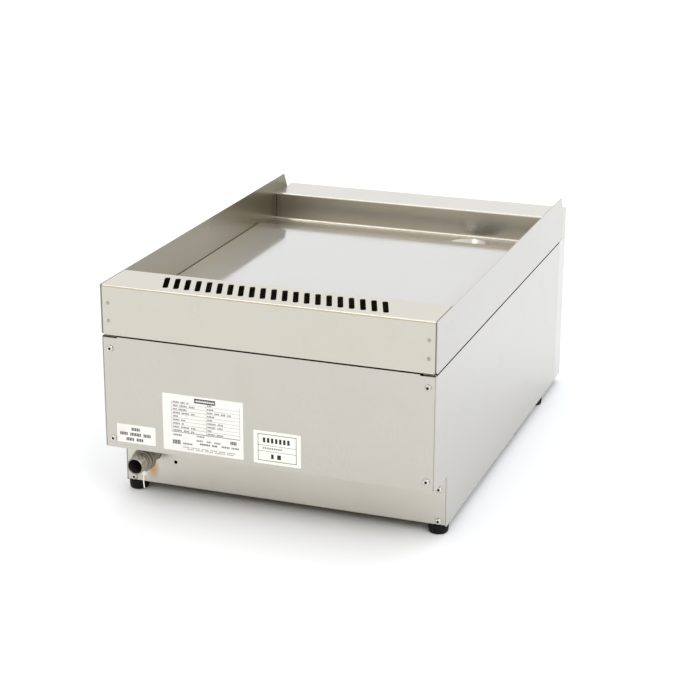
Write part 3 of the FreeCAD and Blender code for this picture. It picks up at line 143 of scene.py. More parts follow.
def make_lights():
    """Soft lights overhead and behind the camera, and a small one that draws a line along the bends."""
    for name, strength, color, spread, turn in (
        ("overhead", 0.4, (1, 1, 1), 50, (25, -6, 0)),
        ("bend_light", 0.21, (1, 0.94, 0.84), 14, (-18, 22, 0)),
        ("fill", 0.65, (1, 1, 1), 30, (-27, -43, 0)),
    ):
        data = bpy.data.lights.new(name, "SUN")
        data.energy = strength
        data.color = color
        data.angle = math.radians(spread)
        light = bpy.data.objects.new(name, data)
        light.rotation_euler = [math.radians(angle) for angle in turn]
        bpy.context.scene.collection.objects.link(light)


# ---------------------------------------------------------------- materials
class Look:
    """A procedural material round one Principled shader. Textures lie in metres on the piece itself."""

    def __init__(self, name, color, roughness, metallic=0.0, **sockets):
        self.material = bpy.data.materials.new(name)
        self.material.use_nodes = True
        self.tree = self.material.node_tree
        self.shader = self.tree.nodes["Principled BSDF"]
        self.shader.inputs["Base Color"].default_value = (*color, 1)
        self.shader.inputs["Roughness"].default_value = roughness
        self.shader.inputs["Metallic"].default_value = metallic
        for socket, value in sockets.items():
            self.shader.inputs[socket.replace("_", " ")].default_value = value
        self.place = self.tree.nodes.new("ShaderNodeTexCoord").outputs["Object"]
        self.height = None

    def link(self, start, end):
        """Join two sockets of the material."""
        self.tree.links.new(start, end)

    def noise(self, scale, detail=2.0, stretch=(1, 1, 1), shift=(0, 0, 0)):
        """Noise with this many features a metre, finer or coarser along each axis by stretch."""
        mapping = self.tree.nodes.new("ShaderNodeMapping")
        mapping.inputs["Scale"].default_value = stretch
        mapping.inputs["Location"].default_value = shift
        self.link(self.place, mapping.inputs["Vector"])
        texture = self.tree.nodes.new("ShaderNodeTexNoise")
        texture.inputs["Scale"].default_value = scale
        texture.inputs["Detail"].default_value = detail
        self.link(mapping.outputs[0], texture.inputs["Vector"])
        return texture.outputs["Fac"]

    def spot(self, centre, radii):
        """1 at the centre, falling to 0 at an ellipsoid with these radii."""
        mapping = self.tree.nodes.new("ShaderNodeMapping")
        mapping.vector_type = "TEXTURE"
        mapping.inputs["Location"].default_value = centre
        mapping.inputs["Scale"].default_value = radii
        self.link(self.place, mapping.inputs["Vector"])
        ball = self.tree.nodes.new("ShaderNodeTexGradient")
        ball.gradient_type = "SPHERICAL"
        self.link(mapping.outputs[0], ball.inputs["Vector"])
        return ball.outputs["Fac"]

    def along(self, axis):
        """Place along one axis, in metres."""
        split = self.tree.nodes.new("ShaderNodeSeparateXYZ")
        self.link(self.place, split.inputs[0])
        return split.outputs[axis]

    def off_centre(self):
        """Distance from the griddle's middle plane, in metres."""
        return self.calculate("ABSOLUTE", self.along("X"))

    def calculate(self, operation, *sources):
        """One step of arithmetic on sockets."""
        node = self.tree.nodes.new("ShaderNodeMath")
        node.operation = operation
        for index, source in enumerate(sources):
            self.link(source, node.inputs[index])
        return node.outputs[0]

    def remap(self, source, low, high, to_low, to_high):
        """What runs from low to high in the source runs from to_low to to_high, and no further."""
        node = self.tree.nodes.new("ShaderNodeMapRange")
        node.inputs["From Min"].default_value = low
        node.inputs["From Max"].default_value = high
        node.inputs["To Min"].default_value = to_low
        node.inputs["To Max"].default_value = to_high
        self.link(source, node.inputs["Value"])
        return node.outputs[0]

    def tint(self, mask, color):
        """Paint this colour where the mask is 1, over the colour so far."""
        socket = self.shader.inputs["Base Color"]
        mix = self.tree.nodes.new("ShaderNodeMix")
        mix.data_type = "RGBA"
        if socket.links:
            self.link(socket.links[0].from_socket, mix.inputs["A"])
        else:
            mix.inputs["A"].default_value = socket.default_value
        mix.inputs["B"].default_value = (*color, 1)
        self.link(mask, mix.inputs["Factor"])
        self.link(mix.outputs["Result"], socket)

    def vary_roughness(self, source, low, high):
        """Roughness from low to high over the middle of a noise's range, added to what is there."""
        socket = self.shader.inputs["Roughness"]
        value = self.remap(source, 0.3, 0.7, low, high)
        if socket.links:
            value = self.calculate("ADD", socket.links[0].from_socket, value)
        self.link(value, socket)

    def bump(self, source, depth, strength=1.0):
        """Raise the surface by up to this depth, in metres, on top of the bumps so far."""
        node = self.tree.nodes.new("ShaderNodeBump")
        node.inputs["Distance"].default_value = depth
        node.inputs["Strength"].default_value = strength
        self.link(source, node.inputs["Height"])
        if self.height:
            self.link(self.height, node.inputs["Normal"])
        self.height = node.outputs[0]
        self.link(self.height, self.shader.inputs["Normal"])


def scaled(color, share):
    """The colour with this share of its light."""
    return tuple(c * share for c in color)


def rolled_sheet(name, color, roughness, grain, wave=0.22 * MM):
    """Stainless sheet: fine grain one way, faint cloudiness, hand marks and a slight waviness."""
    look = Look(name, color, roughness, metallic=1.0)
    fine = look.noise(2600, 2, grain)
    cloud = look.noise(5, 2)
    marks = look.noise(26, 4, shift=(3, 1, 2))
    stained = tuple(c * f for c, f in zip(color, (0.90, 0.87, 0.80)))
    look.tint(look.remap(cloud, 0.3, 0.7, 0, 0.35), scaled(color, 0.93))
    look.tint(look.remap(marks, 0.55, 0.8, 0, 0.25), stained)
    look.vary_roughness(fine, roughness - 0.008, roughness + 0.008)
    look.vary_roughness(marks, -0.005, 0.01)
    look.bump(look.noise(3.2, 1), wave, 0.3)
    return look


def mirror_plate():
    """Polished cooking plate: wiping marks, long scratches, browned sides and a thin line of painted shade
    round the edge, where the gap to the guards lies.
    """
    look = Look("polished_plate", (0.525, 0.525, 0.525), 0.07, metallic=0.8)
    wiped = look.noise(15, 4, (1, 0.5, 1))
    scratches = look.noise(90, 2, (8, 0.25, 1))
    look.vary_roughness(wiped, 0.06, 0.11)
    look.vary_roughness(scratches, -0.01, 0.03)
    look.tint(look.remap(wiped, 0.45, 0.75, 0, 0.35), (0.50, 0.495, 0.485))
    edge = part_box("griddle_plate")[1].x
    look.tint(look.remap(look.off_centre(), edge - 60 * MM, edge - 8 * MM, 0, 0.55), (0.47, 0.43, 0.34))
    # painted shade: a thin dark line at the plate's edge, for the shadowed gap between the plate and the
    # guards
    painted_gap_shade = look.remap(look.off_centre(), edge - 1.4 * MM, edge - 0.6 * MM, 0, 0.85)
    look.tint(painted_gap_shade, (0.07, 0.055, 0.035))
    look.bump(scratches, 0.0015 * MM)
    look.bump(look.noise(4, 1), 0.2 * MM, 0.3)
    return look


def mill_sheet(name, color, roughness=0.42):
    """Plain mill sheet for the inside: cloudy, with a faint grain from front to back."""
    look = Look(name, color, roughness, metallic=1.0)
    cloud = look.noise(12, 4)
    grain = look.noise(300, 2, (1, 0.05, 1))
    look.tint(look.remap(cloud, 0.3, 0.7, 0, 0.6), scaled(color, 0.8))
    look.vary_roughness(cloud, roughness - 0.06, roughness + 0.06)
    look.bump(grain, 0.006 * MM)
    return look


def heated_steel(name, color, soot):
    """Liner and burner sheet that the flame has browned and blued."""
    look = Look(name, color, 0.5, metallic=1.0)
    cloud = look.noise(18, 5)
    look.tint(look.remap(cloud, 0.35, 0.65, 0, 0.8), (0.20, 0.13, 0.09))
    look.tint(look.remap(look.noise(9, 3, shift=(5, 2, 1)), 0.5, 0.7, 0, 0.6), (0.12, 0.14, 0.20))
    look.tint(look.remap(look.noise(40, 6), 0.4, 0.7, 0, soot), (0.03, 0.028, 0.025))
    look.vary_roughness(cloud, 0.42, 0.68)
    look.bump(look.noise(500, 3), 0.02 * MM)
    return look


def soft_metal(name, color, roughness, dull):
    """Brass, copper and plated steel with a little tarnish."""
    look = Look(name, color, roughness, metallic=1.0)
    cloud = look.noise(60, 4)
    look.tint(look.remap(cloud, 0.35, 0.7, 0, 0.8), dull)
    look.vary_roughness(cloud, roughness - 0.05, roughness + 0.12)
    look.bump(look.noise(900, 2), 0.008 * MM)
    return look


def moulded(name, color, roughness, grain=0.01 * MM, **sockets):
    """Moulded plastic or rubber, paper or ink: one colour with a fine texture this deep."""
    look = Look(name, color, roughness, **sockets)
    fine = look.noise(1200, 3)
    cloud = look.noise(45, 3)
    look.tint(look.remap(cloud, 0.35, 0.7, 0, 0.5), tuple(c * 0.8 + 0.01 for c in color))
    look.vary_roughness(cloud, roughness - 0.05, roughness + 0.06)
    look.bump(fine, grain)
    return look


def inlet_steel():
    """Dull plated pipe with rust starting in the thread."""
    look = soft_metal("inlet_steel", (0.36, 0.34, 0.30), 0.34, (0.22, 0.20, 0.17))
    look.tint(look.remap(look.noise(220, 4), 0.58, 0.72, 0, 0.6), (0.25, 0.17, 0.10))
    return look


def base_sheet():
    """The lower rear panel, with the rust run below the gas pipe."""
    look = rolled_sheet("base_sheet", (0.595, 0.575, 0.52), 0.30, GRAIN_UP)
    pipe = centre_of("gas_inlet_pipe")
    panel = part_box("base_rear_panel")[1].y
    run = look.spot((pipe.x + 1 * MM, panel, pipe.z - 21 * MM), (10 * MM, 20 * MM, 17 * MM))
    patchy = look.calculate("MULTIPLY", run, look.remap(look.noise(60, 2), 0.3, 0.7, 0.75, 1.2))
    look.tint(look.remap(patchy, 0.02, 0.8, 0, 0.85), (0.50, 0.27, 0.10))
    return look


def guard_sheet():
    """Splash guards: as the cabinet outside, with painted shade and reflection that make the inner face
    darker and warmer, most towards the front.
    """
    look = rolled_sheet("guard_sheet", (0.51, 0.50, 0.475), 0.26, GRAIN_DEEP)
    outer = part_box("splash_guard_right")[1].x
    # painted shade and reflection: the inner face is darker and warmer than the outer face
    inside = look.remap(look.off_centre(), outer - 0.5 * MM, outer - 0.9 * MM, 0, 1)
    look.tint(inside, (0.42, 0.39, 0.32))
    # painted shade: the inner face darkens further towards the front
    front = look.remap(look.along("Y"), 20 * MM, -270 * MM, 0, 1)
    look.tint(look.calculate("MULTIPLY", inside, front), (0.16, 0.14, 0.09))
    return look


def cap_sheet():
    """The flue cap, with a dark joint where its ends meet the splash guards."""
    look = rolled_sheet("cap_sheet", (0.56, 0.54, 0.475), 0.26, GRAIN_UP)
    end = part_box("rear_flue_cap")[1].x
    joint = look.remap(look.off_centre(), end - 1.5 * MM, end - 0.9 * MM, 0, 0.85)
    look.tint(joint, (0.05, 0.045, 0.035))
    return look


# Short name of a finish: its material. make_looks fills it.
LOOKS = {}


def make_looks():
    """One material for each finish."""
    LOOKS.update(
        cap=cap_sheet().material,
        rear=rolled_sheet("rear_sheet", (0.535, 0.515, 0.465), 0.28, GRAIN_UP).material,
        base=base_sheet().material,
        side=rolled_sheet("side_sheet", (0.535, 0.525, 0.50), 0.26, GRAIN_DEEP).material,
        guard=guard_sheet().material,
        rail=rolled_sheet("rail_sheet", (0.585, 0.57, 0.53), 0.30, GRAIN_WIDE).material,
        front=rolled_sheet("front_sheet", (0.60, 0.595, 0.575), 0.26, GRAIN_WIDE).material,
        plate=mirror_plate().material,
        inner=mill_sheet("inner_steel", (0.55, 0.55, 0.53)).material,
        # painted shade: the bottom tray is near black, for the dark gap under the lower rear panel
        tray=mill_sheet("tray_painted_shade", (0.10, 0.10, 0.10), 0.5).material,
        flue=heated_steel("flue_steel", (0.30, 0.26, 0.22), 0.9).material,
        burner=heated_steel("burner_steel", (0.45, 0.40, 0.35), 0.4).material,
        spout=mill_sheet("spout_steel", (0.55, 0.52, 0.46), 0.25).material,
        fastener=soft_metal("fastener_steel", (0.68, 0.68, 0.66), 0.22, (0.5, 0.5, 0.48)).material,
        rivet=soft_metal("rivet_steel", (0.40, 0.39, 0.31), 0.30, (0.30, 0.29, 0.22)).material,
        gasket=moulded("gasket_black", (0.011, 0.008, 0.005), 0.8, Specular_IOR_Level=0.2).material,
        foot=moulded("foot_rubber", (0.004, 0.004, 0.0045), 0.6, 0.03 * MM, Specular_IOR_Level=0.15).material,
        paper=moulded("label_paper", (0.86, 0.86, 0.855), 0.35, FILM_GRAIN).material,
        pale_paper=moulded("label_paper_pale", (0.90, 0.95, 0.89), 0.35, FILM_GRAIN).material,
        ink=moulded("label_ink", (0.012, 0.012, 0.014), 0.6, FILM_GRAIN).material,
        grey_ink=moulded("label_ink_grey", (0.12, 0.125, 0.14), 0.5, FILM_GRAIN).material,
        inlet=inlet_steel().material,
        # near black in the thread's valleys
        grime=moulded("thread_grime", (0.055, 0.045, 0.03), 0.7).material,
        # painted shade: near black, for the shaded inside of the pipe's bore and the screws' sockets and rim
        # feet
        bore=moulded("bore_painted_shade", (0.006, 0.005, 0.004), 0.9).material,
        band=moulded("tie_band", (0.30, 0.29, 0.24), 0.4).material,
        tie=moulded("tie_plastic", (0.94, 0.93, 0.88), 0.22).material,
        copper=soft_metal("copper", (0.80, 0.45, 0.30), 0.22, (0.45, 0.22, 0.14)).material,
        brass=soft_metal("brass", (0.78, 0.60, 0.30), 0.25, (0.50, 0.36, 0.17)).material,
        ceramic=moulded("ceramic", (0.82, 0.80, 0.74), 0.18, Coat_Weight=0.5).material,
        lead=moulded("lead_red", (0.42, 0.03, 0.02), 0.45).material,
        knob=moulded("knob_black", (0.016, 0.016, 0.017), 0.32, 0.012 * MM).material,
        bezel=soft_metal("bezel", (0.72, 0.72, 0.71), 0.30, (0.58, 0.58, 0.57)).material,
        print=moulded("dial_print", (0.03, 0.03, 0.03), 0.5).material,
        mark=moulded("pointer_white", (0.80, 0.80, 0.78), 0.4).material,
        igniter=moulded("igniter_plastic", (0.02, 0.02, 0.02), 0.45, 0.02 * MM).material,
        button=moulded("button_red", (0.45, 0.015, 0.01), 0.25, Coat_Weight=0.3).material,
        handle=rolled_sheet("handle_steel", (0.66, 0.65, 0.63), 0.16, GRAIN_WIDE, wave=0).material,
    )


# Short name of a finish: the CAD nodes that keep their own shape and wear it.
NODE_LOOKS = {
    "cap": ["rear_flue_cap"],
    "rear": ["rear_panel"],
    "base": ["base_rear_panel"],
    "side": ["side_panel_left", "side_panel_right"],
    "guard": ["splash_guard_left", "splash_guard_right"],
    "rail": ["front_rail"],
    "front": ["front_panel", "drawer_front"],
    "plate": ["griddle_plate"],
    "tray": ["bottom_tray"],
    "inner": ["plate_support_left", "plate_support_right", "overhang_floor", "heat_shield_floor",
              "drawer_runners", "valve_bracket", "burner_brackets", "injector_holder"],
    "flue": ["flue_box", "firebox_left_wall", "firebox_right_wall", "firebox_front_wall",
             "firebox_rear_wall"],
    "burner": ["burner"],
    "spout": ["drain_spout", "grease_drawer"],
    "rivet": ["cap_rivets"],
    "fastener": ["foot_screws"],
    "gasket": ["top_gasket"],
    "copper": ["gas_supply_tube", "burner_feed_tube", "pilot_tube", "thermocouple"],
    "brass": ["injector", "pilot_burner", "gas_valve", "valve_plunger", "valve_spindle"],
    "ceramic": ["ignition_electrode"],
    "lead": ["ignition_lead"],
    "igniter": ["igniter_nut"],
    "handle": ["drawer_handle"],
}


# Sheets whose sharp edges catch the light.
EASED = ("rear_panel", "base_rear_panel", "side_panel_left", "side_panel_right", "splash_guard_left",
         "splash_guard_right", "rear_flue_cap", "front_rail", "front_panel", "drawer_front", "griddle_plate")


def ease(piece, width):
    """Round the piece's sharp edges."""
    bevel = piece.modifiers.new("eased_edges", "BEVEL")
    bevel.width = width
    bevel.segments = 2
    bevel.limit_method = "ANGLE"
    bevel.angle_limit = math.radians(40)
    bevel.harden_normals = True


def dress_nodes():
    """Give each CAD piece that stays its own finish, and break the sharp edges of the sheets."""
    for look, names in NODE_LOOKS.items():
        for name in names:
            for holder in NODES[name].material_slots:
                holder.link = "OBJECT"
                holder.material = LOOKS[look]
    for name in EASED:
        ease(NODES[name], 0.35 * MM)


# ---------------------------------------------------------------- mesh makers
def add_piece(name, mesh, looks, node):
    """Link a finished mesh, and tie it to the CAD node that it stands for."""
    for look in looks:
        mesh.materials.append(LOOKS[look])
    piece = bpy.data.objects.new(name, mesh)
    bpy.context.scene.collection.objects.link(piece)
    body = next(b for b, names in frame["record"]["behaviour"]["bodies"].items() if node in names)
    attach(piece, body)
    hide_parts(node)
    return piece


def centre_of(node):
    """The middle of a CAD node's box."""
    low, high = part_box(node)
    return (low + high) / 2


def centre_at(node, y):
    """The middle of a CAD node's box, moved to this place along Y."""
    middle = centre_of(node)
    return Vector((middle.x, y, middle.z))


def ring_radius(radius, sides, angle):
    """The radius of a circle, or of a regular polygon with this inner radius."""
    if not sides:
        return radius
    share = math.pi / sides
    return radius / math.cos((angle % (2 * share)) - share)


# Turns the +Z axis of a profile to the axis named.
AXES = {
    "+Y": Matrix.Rotation(math.radians(-90), 3, "X"),
    "-Y": Matrix.Rotation(math.radians(90), 3, "X"),
    "+Z": Matrix.Identity(3),
}


def join(mesh, first, second, material=0):
    """Faces between two rings of equal count, or between a ring and a single point."""
    faces = []
    count = max(len(first), len(second))
    for i in range(count):
        j = (i + 1) % count
        if len(first) == 1:
            corners = (first[0], second[j], second[i])
        elif len(second) == 1:
            corners = (first[i], first[j], second[0])
        else:
            corners = (first[i], first[j], second[j], second[i])
        face = mesh.faces.new(corners)
        face.material_index = material
        faces.append(face)
    return faces


def ring_round_y(mesh, centre, radii, depth):
    """A ring of vertices in a plane this far behind the centre, one for each radius."""
    ring = []
    for i, radius in enumerate(radii):
        angle = 2 * math.pi * i / len(radii)
        offset = Vector((radius * math.cos(angle), -depth, radius * math.sin(angle)))
        ring.append(mesh.verts.new(centre + offset))
    return ring


def add_turning(mesh, profile, centre, axis, steps, material=0, closed=False):
    """A turned shape: profile rows are (radius, height, sides), heights along the axis from the centre."""
    rings = []
    for row in profile:
        radius, height = row[0], row[1]
        sides = row[2] if len(row) > 2 else 0
        if radius == 0:
            rings.append([mesh.verts.new(centre + AXES[axis] @ Vector((0, 0, height)))])
            continue
        ring = []
        for i in range(steps):
            angle = 2 * math.pi * i / steps
            size = ring_radius(radius, sides, angle)
            spot = Vector((size * math.cos(angle), size * math.sin(angle), height))
            ring.append(mesh.verts.new(centre + AXES[axis] @ spot))
        rings.append(ring)
    for low, high in zip(rings, rings[1:]):
        join(mesh, low, high, material)
    if closed:
        join(mesh, rings[-1], rings[0], material)
    return rings


def add_block(mesh, low, high, material=0):
    """A box between two corners."""
    spots = [mesh.verts.new((x, y, z)) for x in (low[0], high[0]) for y in (low[1], high[1])
             for z in (low[2], high[2])]
    for corners in ((0, 1, 3, 2), (4, 6, 7, 5), (0, 4, 5, 1), (2, 3, 7, 6), (0, 2, 6, 4), (1, 5, 7, 3)):
        face = mesh.faces.new([spots[i] for i in corners])
        face.material_index = material


def finished(mesh, name, sharp=35):
    """Mesh data from the bmesh: smooth, but crisp where the surface turns by more than this angle."""
    bmesh.ops.recalc_face_normals(mesh, faces=mesh.faces)
    data = bpy.data.meshes.new(name)
    mesh.to_mesh(data)
    mesh.free()
    for face in data.polygons:
        face.use_smooth = True
    data.set_sharp_from_angle(angle=math.radians(sharp))
    return data


def arc(centre, radius, start, end, count):
    """Profile rows along an arc, angles in degrees from the outward direction."""
    rows = []
    for i in range(count):
        angle = math.radians(start + (end - start) * i / (count - 1))
        rows.append((centre[0] + radius * math.cos(angle), centre[1] + radius * math.sin(angle)))
    return rows


def in_mm(rows):
    """Profile rows written in millimetres, as metres; a row's number of sides stays."""
    return [(row[0] * MM, row[1] * MM, *row[2:]) for row in rows]


# ---------------------------------------------------------------- gas inlet
def make_inlet_pipe():
    """Pipe end with a cut thread, dark in its valleys, and with painted shade in its bore."""
    low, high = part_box("gas_inlet_pipe")
    centre = centre_at("gas_inlet_pipe", high.y)
    outer, bore, plain = (high.x - low.x) / 2, 8.6 * MM, 10.2 * MM
    pitch, tooth, thread_end = 1.814 * MM, 1.16 * MM, 13.6 * MM
    chamfer, run_out = 0.9 * MM, 1.6 * MM
    rows, steps = 96, 72

    def phase(depth, turn):
        return (depth / pitch + turn) % 1

    def thread_radius(depth, turn):
        cut = tooth * (1 - abs(2 * phase(depth, turn) - 1)) ** 0.8
        shallow = tooth * max(0, (depth - thread_end + run_out) / run_out)
        return outer - max(min(cut, tooth - shallow), max(0, chamfer - depth))

    def is_valley(depth, turn):
        deep = abs(2 * phase(depth, turn) - 1) < 0.45
        return deep and chamfer < depth < thread_end - run_out / 2

    mesh = bmesh.new()
    rings = []
    for k in range(rows + 1):
        depth = thread_end * k / rows
        radii = [thread_radius(depth, i / steps) for i in range(steps)]
        rings.append(ring_round_y(mesh, centre, radii, depth))
    for depth in (thread_end, high.y - low.y):
        rings.append(ring_round_y(mesh, centre, [plain] * steps, depth))
    inside = []
    for radius, depth in ((bore + 0.5 * MM, 0), (bore, 0.5 * MM), (bore, 68 * MM)):
        inside.append(ring_round_y(mesh, centre, [radius] * steps, depth))
    # faces in the thread's valleys take the near-black finish
    for k, (first, second) in enumerate(zip(rings, rings[1:])):
        for i, face in enumerate(join(mesh, first, second)):
            if k < rows and is_valley(k / rows * thread_end, i / steps):
                face.material_index = 2
    join(mesh, rings[0], inside[0])
    join(mesh, inside[0], inside[1])
    # painted shade: the bore's wall and its far end are near black
    join(mesh, inside[1], inside[2], material=1)
    join(mesh, rings[-1], inside[-1])
    mesh.faces.new(inside[-1]).material_index = 1
    data = finished(mesh, "inlet_thread", sharp=50)
    add_piece("inlet_thread", data, ["inlet", "bore", "grime"], "gas_inlet_pipe")


def make_lock_collar():
    """Collar in two steps behind the thread, edges eased."""
    low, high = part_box("inlet_lock_nut")
    centre = centre_at("inlet_lock_nut", low.y)
    long = (high.y - low.y) / MM
    outer = (high.x - low.x) / 2 / MM
    inner = 10.3
    profile = [(inner, 0), (outer - 0.6, 0), *arc((outer - 1, 1), 1, -60, 0, 3),
               *arc((outer - 1, 5.2), 1, 0, 60, 3), (outer - 1.4, 6.3), (outer - 1.4, 6.9),
               *arc((outer - 1.6, 7.8), 0.9, -60, 0, 3), *arc((outer - 1.9, long - 1.2), 1.2, 0, 80, 4),
               (inner, long)]
    mesh = bmesh.new()
    add_turning(mesh, in_mm(profile), centre, "+Y", 72, closed=True)
    data = finished(mesh, "lock_collar", sharp=40)
    add_piece("lock_collar", data, ["inlet"], "inlet_lock_nut")


def make_cable_tie():
    """Nylon tie: ribbed band round the pipe, its head low on one side, and the tail hanging from the head."""
    low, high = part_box("inlet_cable_tie")
    pipe = centre_of("gas_inlet_pipe")
    middle = (low.y + high.y) / 2
    hub = Vector((pipe.x, middle, pipe.z))
    inner, thick, half = 10.32 * MM, 1.1 * MM, (high.y - low.y) / 2
    mesh = bmesh.new()
    band = []
    steps = 96
    for i in range(steps):
        angle = 2 * math.pi * i / steps
        rib = 0.18 * MM * (i % 2)
        way = Vector((math.cos(angle), 0, math.sin(angle)))
        section = ((inner, -1), (inner + thick, -0.92), (inner + thick - rib, 0), (inner + thick, 0.92),
                   (inner, 1))
        band.append([mesh.verts.new(hub + way * radius + Vector((0, side * half, 0)))
                     for radius, side in section])
    for i in range(steps):
        join(mesh, band[i], band[(i + 1) % steps], material=1)
    head = Vector((pipe.x - 4 * MM, middle, pipe.z - 12.6 * MM))
    size = Vector((2.7, 1.2, 2.4)) * MM
    add_block(mesh, head - size, head + size)
    tail = []
    tail_top = head.z - 1.5 * MM
    pieces = 12
    for i in range(pieces + 1):
        share = i / pieces
        x = head.x + 1.3 * MM * math.sin(share * 2.6) - 0.5 * MM * share
        z = tail_top - (tail_top - low.z) * share
        wide = (0.75 - 0.2 * share) * MM
        thin = 0.55 * MM
        tail.append([mesh.verts.new((x + dx * wide, middle + dy * thin, z))
                     for dx, dy in ((-1, -1), (1, -1), (1, 1), (-1, 1))])
    for first, second in zip(tail, tail[1:]):
        join(mesh, first, second)
    mesh.faces.new(tail[0])
    mesh.faces.new(tail[-1])
    data = finished(mesh, "nylon_tie", sharp=40)
    piece = add_piece("nylon_tie", data, ["tie", "band"], "inlet_cable_tie")
    ease(piece, 0.25 * MM)


# ---------------------------------------------------------------- fasteners and feet
def make_panel_screws():
    """Domed screws with a hexagon socket, four to a panel; painted shade in the socket and round the rim's
    foot.
    """
    head_r, tall, socket, deep = 4.0, 1.8, 1.5, 1.0
    dome = [(1.7, -5), (1.7, 0.02), (head_r - 0.1, 0.02), (head_r, 0.5), (head_r - 0.2, 0.95),
            (head_r - 0.7, 1.4), (head_r - 1.4, tall - 0.08), (1.95, tall), (1.8, tall),
            (socket, tall - 0.2, 6), (socket, tall - deep, 6), (0, tall - deep - 0.25)]
    for node in ("rear_panel_screws", "base_panel_screws"):
        low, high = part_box(node)
        mesh = bmesh.new()
        for x in (low.x + head_r * MM, high.x - head_r * MM):
            for z in (low.z + head_r * MM, high.z - head_r * MM):
                centre = Vector((x, high.y - tall * MM, z))
                rings = add_turning(mesh, in_mm(dome), centre, "+Y", 48)
                # painted shade: the rim's foot and the socket take the near-black finish
                for ring in (rings[2], *rings[-2:]):
                    for spot in ring:
                        for face in spot.link_faces:
                            face.material_index = 1
                mesh.faces.new(rings[0])
        data = finished(mesh, f"{node}_domed", sharp=40)
        add_piece(f"{node}_domed", data, ["fastener", "bore"], node)


def make_feet():
    """Moulded rubber feet: a soft lower edge, one moulding line and a screw recess below."""
    for node in ("foot_rear_left", "foot_rear_right", "foot_front_left", "foot_front_right"):
        low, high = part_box(node)
        middle = centre_of(node)
        centre = Vector((middle.x, middle.y, low.z))
        wide, tall = (high.x - low.x) / 2 / MM, (high.z - low.z) / MM
        profile = [(2.5, 4.2), (4.4, 4.2), (4.4, 0.7), (5.0, 0), *arc((wide - 2.9, 2.4), 2.4, -90, -12, 6),
                   (wide - 0.25, 4.2), (wide - 0.1, 6.2), (wide, 6.5), (wide, 7.3), (wide - 0.1, 7.6),
                   (wide - 0.25, tall - 0.6), (wide - 0.8, tall), (2.5, tall)]
        mesh = bmesh.new()
        add_turning(mesh, in_mm(profile), centre, "+Z", 72, closed=True)
        data = finished(mesh, f"{node}_moulded", sharp=45)
        add_piece(f"{node}_moulded", data, ["foot"], node)


# ---------------------------------------------------------------- labels
def words(rng, start, end, low, high, sizes, gap):
    """Bars that stand for the words of one printed line: (left, right, bottom, top), as shares."""
    bars = []
    place = start
    while place < end:
        long = min(rng.uniform(*sizes), end - place)
        if long > gap:
            bars.append((place, place + long, low, high))
        place += long + gap
    return bars


def frame_lines(left, right, low, high, line, aspect):
    """The four sides of a drawn rectangle."""
    tall = line * aspect
    return [(left, right, low, low + tall), (left, right, high - tall, high),
            (left, left + line, low, high), (right - line, right, low, high)]


def letters(bar, count, gap=0.3):
    """Split a bar into strokes, as a line of print looks from far off."""
    left, right, low, high = bar
    pitch = (right - left) / count
    return [(left + pitch * i, left + pitch * (i + 1 - gap), low, high) for i in range(count)]


def printed(bars, pitch, gap):
    """Every bar split into strokes about this pitch apart."""
    strokes = []
    for bar in bars:
        strokes += letters(bar, max(2, round((bar[1] - bar[0]) / pitch)), gap)
    return strokes


def make_label(node, name, paper, marks):
    """A thin film with printed marks. Shares run from the left and from the bottom as a reader sees them."""
    low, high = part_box(node)
    wide, tall, film = high.x - low.x, high.z - low.z, 0.11 * MM
    round_off = 0.9 * MM
    x_low, x_high = low.x + round_off, high.x - round_off
    z_low, z_high = low.z + round_off, high.z - round_off
    outline = []
    for x, z, start in ((x_high, z_high, 0), (x_low, z_high, 90), (x_low, z_low, 180), (x_high, z_low, 270)):
        for k in range(5):
            angle = math.radians(start + 90 * k / 4)
            outline.append((x + round_off * math.cos(angle), z + round_off * math.sin(angle)))
    mesh = bmesh.new()
    back = [mesh.verts.new((x, low.y, z)) for x, z in outline]
    face = [mesh.verts.new((x, low.y + film, z)) for x, z in outline]
    mesh.faces.new(face)
    mesh.faces.new(back)
    join(mesh, back, face)
    for material, bars in enumerate(marks, 1):
        for left, right, bottom, top in bars:
            add_block(mesh, (high.x - right * wide, low.y + film * 0.6, low.z + bottom * tall),
                      (high.x - left * wide, low.y + film * 1.2, low.z + top * tall), material)
    data = finished(mesh, name)
    add_piece(name, data, [paper, "ink", "grey_ink"], node)


def make_gas_label(rng):
    """Three centred lines."""
    bold = []
    for left, right, bottom, sizes in ((0.38, 0.66, 0.68, (0.2, 0.28)), (0.08, 0.90, 0.40, (0.18, 0.34)),
                                       (0.24, 0.80, 0.12, (0.12, 0.28))):
        bold += printed(words(rng, left, right, bottom, bottom + 0.17, sizes, 0.06), 0.042, 0.3)
    make_label("gas_label", "gas_label_film", "paper", [bold, []])


